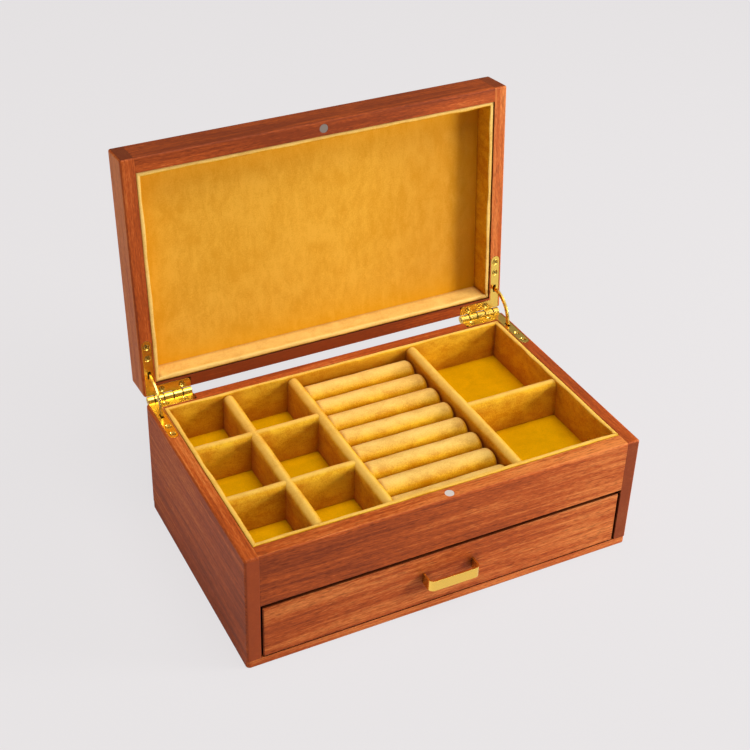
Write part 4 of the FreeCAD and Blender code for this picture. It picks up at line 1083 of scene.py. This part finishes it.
class RINGBOX_OT_drawer_velvet(Operator):
    """Pad the inside of the drawer"""

    bl_idname = "ringbox.drawer_velvet"
    bl_label = "Pad the drawer"

    def execute(self, context):
        velvet = context.scene.ringbox_velvet
        line_well("drawer_lining", "drawer", velvet, bpy.data.materials["Cotton velvet, cut pile, walls"])
        pad_floor("drawer", velvet, bpy.data.materials["Cotton velvet, short pile, floors"], 81)
        return {"FINISHED"}


class RINGBOX_OT_metals(Operator):
    """Finish the hinges, the arms, the pull and the magnets"""

    bl_idname = "ringbox.metals"
    bl_label = "Finish the metals"

    def execute(self, context):
        settings = context.scene.ringbox_brass
        brass = make_brass("Brass, polished and lacquered", settings, settings.colour)
        # Painted shade: the screw heads get a darker copy of the brass, as they lie shaded in their
        # countersinks.
        make_brass("Brass, shaded, for screws", settings, Vector(settings.colour) * 0.6)
        words = ("hinge_leaf", "hinge_pin", "quadrant_arm", "drawer_pull")
        finish_nodes([name for name in frame["nodes"] if any(word in name for word in words)], brass)
        # Painted shade: the lid's magnet gets a darker, browner copy of the same nickel, as it looks
        # darker where it stands on the open lid.
        for node, colour in (("case_magnet", "E2E0DD"), ("lid_magnet", "8C8078")):
            title = node.replace("_", " ")
            finish_nodes([node], make_nickel(f"Nickel plate, sintered, {title}", linear(colour)))
        return {"FINISHED"}


class RINGBOX_OT_hinge_screws(Operator):
    """Countersink the hinge leaves and set their wood screws"""

    bl_idname = "ringbox.hinge_screws"
    bl_label = "Set the hinge screws"

    def execute(self, context):
        brass = context.scene.ringbox_brass
        material = bpy.data.materials["Brass, shaded, for screws"]
        case_side_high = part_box("right_side")[1]
        leg_y = case_side_high.y - brass.leg_width / 2
        groups = (("case", case_side_high.z, 1), ("lid", level_box("lid_right_rail")[0].z, -1))
        for body, face_z, up in groups:
            low, high = level_box(f"{body}_hinge_leaf_right")
            turn = pose_turn(f"{body}_hinge_leaf_right")
            leg_x = high.x - brass.leg_width / 2
            places = []
            for number in (0, 1):
                places.append((leg_x, low.y + brass.side_screw_first + number * brass.side_screw_pitch))
                places.append((low.x + brass.back_screw_first + number * brass.back_screw_pitch, leg_y))
            heads = bmesh.new()
            sinks = bmesh.new()
            for number, (x, y) in enumerate(places):
                for side in (1, -1):
                    centre = Vector((side * x, y, face_z))
                    # Screws are never turned home at the same angle.
                    turn_deg = 17 + 61 * number + 23 * side
                    add_screw_head(heads, centre, brass, turn_deg, up, turn)
                    add_countersink(sinks, centre, brass, up, turn)
            name = f"{body}_hinge_screws"
            add_piece(name, finished_mesh(name, heads), body, material)
            cutter = bpy.data.objects.new(f"{body}_countersinks", finished_mesh(name, sinks))
            context.scene.collection.objects.link(cutter)
            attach(cutter, body)
            cutter.hide_render = True
            cutter.hide_viewport = True
            for side in ("right", "left"):
                cut = frame["nodes"][f"{body}_hinge_leaf_{side}"].modifiers.new("sinks", "BOOLEAN")
                cut.object = cutter
        return {"FINISHED"}


CAMERA_PLACE = (-0.36790, -0.65977, 0.65165)
# How far the view is moved to the right and up, in shares of its width.
CAMERA_SHIFT = (0.0989, -0.0745)


def aim(thing, direction):
    """Turn a lamp or a camera so that it looks along a direction."""
    thing.rotation_mode = "QUATERNION"
    thing.rotation_quaternion = direction.to_track_quat("-Z", "Y")


class RINGBOX_OT_stage(Operator):
    """Set the floor, the lights and the camera"""

    bl_idname = "ringbox.stage"
    bl_label = "Set the stage"

    def execute(self, context):
        stage = context.scene.ringbox_stage
        self.add_floor(stage)
        self.add_world(context.scene, stage)
        middle = Vector((0, 0, 0.08))
        white = linear("FFFFFF")
        lights = (
            # name, place from the middle of the box, width, height, power, colour
            ("key_light", (0.95, -0.6, 0.37), 0.4, 0.4, stage.key_power, white),
            ("top_light", (0.18, -0.54, 2.5), 2.16, 2.16, stage.top_power, white),
            ("left_light", (-1.1, 0.3, 0.2), 0.9, 0.3, stage.left_power, stage.left_colour),
        )
        for name, place, width, height, power, colour in lights:
            lamp = bpy.data.lights.new(name, "AREA")
            lamp.shape = "ELLIPSE"
            lamp.size = width
            lamp.size_y = height
            lamp.energy = power
            lamp.color = colour
            light = bpy.data.objects.new(name, lamp)
            context.scene.collection.objects.link(light)
            light.location = middle + Vector(place)
            aim(light, -Vector(place))
        self.add_camera(context.scene, stage)
        context.scene.view_settings.view_transform = "Standard"
        return {"FINISHED"}

    def add_floor(self, stage):
        """A wide pale floor, drawn mostly at its own colour, with the box's soft shadow."""
        mesh_data = bmesh.new()
        bmesh.ops.create_grid(mesh_data, x_segments=8, y_segments=8, size=6)
        mesh = bpy.data.meshes.new("floor")
        mesh_data.to_mesh(mesh)
        mesh_data.free()
        floor = bpy.data.objects.new("floor", mesh)
        bpy.context.scene.collection.objects.link(floor)
        material, add = new_material("Paper backdrop, matt")
        diffuse = add("BsdfDiffuse", {"Color": stage.backdrop, "Roughness": 0.5})
        plain = add("Emission", {"Color": stage.backdrop, "Strength": 1.0})
        ray = add("LightPath")
        place = add("TexCoord")
        split = add("SeparateXYZ", {"Vector": place.outputs["Object"]})
        # Glossy faces mirror a bright floor in front of the box and a dim one beside and
        # behind it.
        mirrored = add(
            "MapRange",
            {
                "Value": split.outputs["Y"],
                "From Min": -0.22,
                "From Max": -0.08,
                "To Min": 0.9,
                "To Max": 0.12,
            },
        )
        glossy = add("Math", {0: ray.outputs["Is Glossy Ray"], 1: mirrored}, operation="MULTIPLY")
        share = add(
            "Math", {0: ray.outputs["Is Camera Ray"], 1: 0.9, 2: glossy}, operation="MULTIPLY_ADD"
        )
        mixed = add("MixShader", {0: share, 1: diffuse, 2: plain})
        add("OutputMaterial", {"Surface": mixed})
        mesh.materials.append(material)

    def add_world(self, scene, stage):
        """A pale world for the camera, soft even light, and a dim room for the metal to mirror."""
        world = bpy.data.worlds.new("studio")
        scene.world = world
        world.use_nodes = True
        world.node_tree.nodes.clear()
        add = partial(add_node, world.node_tree)
        ray = add("LightPath")
        place = add("TexCoord")
        split = add("SeparateXYZ", {"Vector": place.outputs["Generated"]})
        room = add("ValToRGB", {"Fac": split.outputs["Z"]})
        # The room is dark below, pale at the height of the box and palest overhead.
        levels = ((0.05, 0.06), (0.45, 0.45), (0.62, 0.3), (0.85, 1.0))
        ramp_stops(room, [(height, Vector(stage.backdrop) * shade) for height, shade in levels])
        backgrounds = (
            (stage.backdrop, stage.ambient),
            (room, 1.0),
            (stage.backdrop, 1.0),
        )
        soft, mirrored, plain = [
            add("Background", {"Color": colour, "Strength": strength})
            for colour, strength in backgrounds
        ]
        glossy = add("MixShader", {0: ray.outputs["Is Glossy Ray"], 1: soft, 2: mirrored})
        mixed = add("MixShader", {0: ray.outputs["Is Camera Ray"], 1: glossy, 2: plain})
        add("OutputWorld", {"Surface": mixed})

    def add_camera(self, scene, stage):
        """The camera, above the left front corner and looking down."""
        flat = math.cos(stage.elevation)
        back = Vector(
            (
                math.sin(stage.azimuth) * flat,
                -math.cos(stage.azimuth) * flat,
                math.sin(stage.elevation),
            )
        )
        lens = bpy.data.cameras.new("camera")
        lens.sensor_width = 36
        lens.lens = stage.lens_mm
        lens.shift_x, lens.shift_y = CAMERA_SHIFT
        lens.clip_start = 0.01
        lens.clip_end = 50
        camera = bpy.data.objects.new("camera", lens)
        scene.collection.objects.link(camera)
        camera.location = CAMERA_PLACE
        aim(camera, -back)
        scene.camera = camera


class RINGBOX_PT_panel(Panel):
    """The steps that dress the ring box"""

    bl_idname = "RINGBOX_PT_panel"
    bl_label = "Ring Box"
    bl_space_type = "VIEW_3D"
    bl_region_type = "UI"
    bl_category = "Ring Box"

    def draw(self, context):
        for step in STEPS:
            self.layout.operator(step.bl_idname)
        for group in ("ringbox_wood", "ringbox_velvet", "ringbox_brass", "ringbox_stage"):
            box = self.layout.box()
            settings = getattr(context.scene, group)
            for name in settings.__annotations__:
                box.prop(settings, name)


STEPS = (
    RINGBOX_OT_boards,
    RINGBOX_OT_velvets,
    RINGBOX_OT_tray_lining,
    RINGBOX_OT_tray_floor,
    RINGBOX_OT_dividers,
    RINGBOX_OT_ring_rolls,
    RINGBOX_OT_lid_velvet,
    RINGBOX_OT_drawer_velvet,
    RINGBOX_OT_metals,
    RINGBOX_OT_hinge_screws,
    RINGBOX_OT_stage,
)
SETTINGS = {
    "ringbox_wood": WoodSettings,
    "ringbox_velvet": VelvetSettings,
    "ringbox_brass": BrassSettings,
    "ringbox_stage": StageSettings,
}


def register():
    """Register the settings, the operators and the panel."""
    for name, group in SETTINGS.items():
        bpy.utils.register_class(group)
        setattr(bpy.types.Scene, name, PointerProperty(type=group))
    for step in STEPS:
        bpy.utils.register_class(step)
    bpy.utils.register_class(RINGBOX_PT_panel)


def unregister():
    """Remove the panel, the operators and the settings."""
    bpy.utils.unregister_class(RINGBOX_PT_panel)
    for step in reversed(STEPS):
        bpy.utils.unregister_class(step)
    for name, group in SETTINGS.items():
        delattr(bpy.types.Scene, name)
        bpy.utils.unregister_class(group)


def main():
    """Dress the box step by step."""
    register()
    for step in STEPS:
        group, name = step.bl_idname.split(".")
        getattr(getattr(bpy.ops, group), name)()


if __name__ == "__main__":
    main()
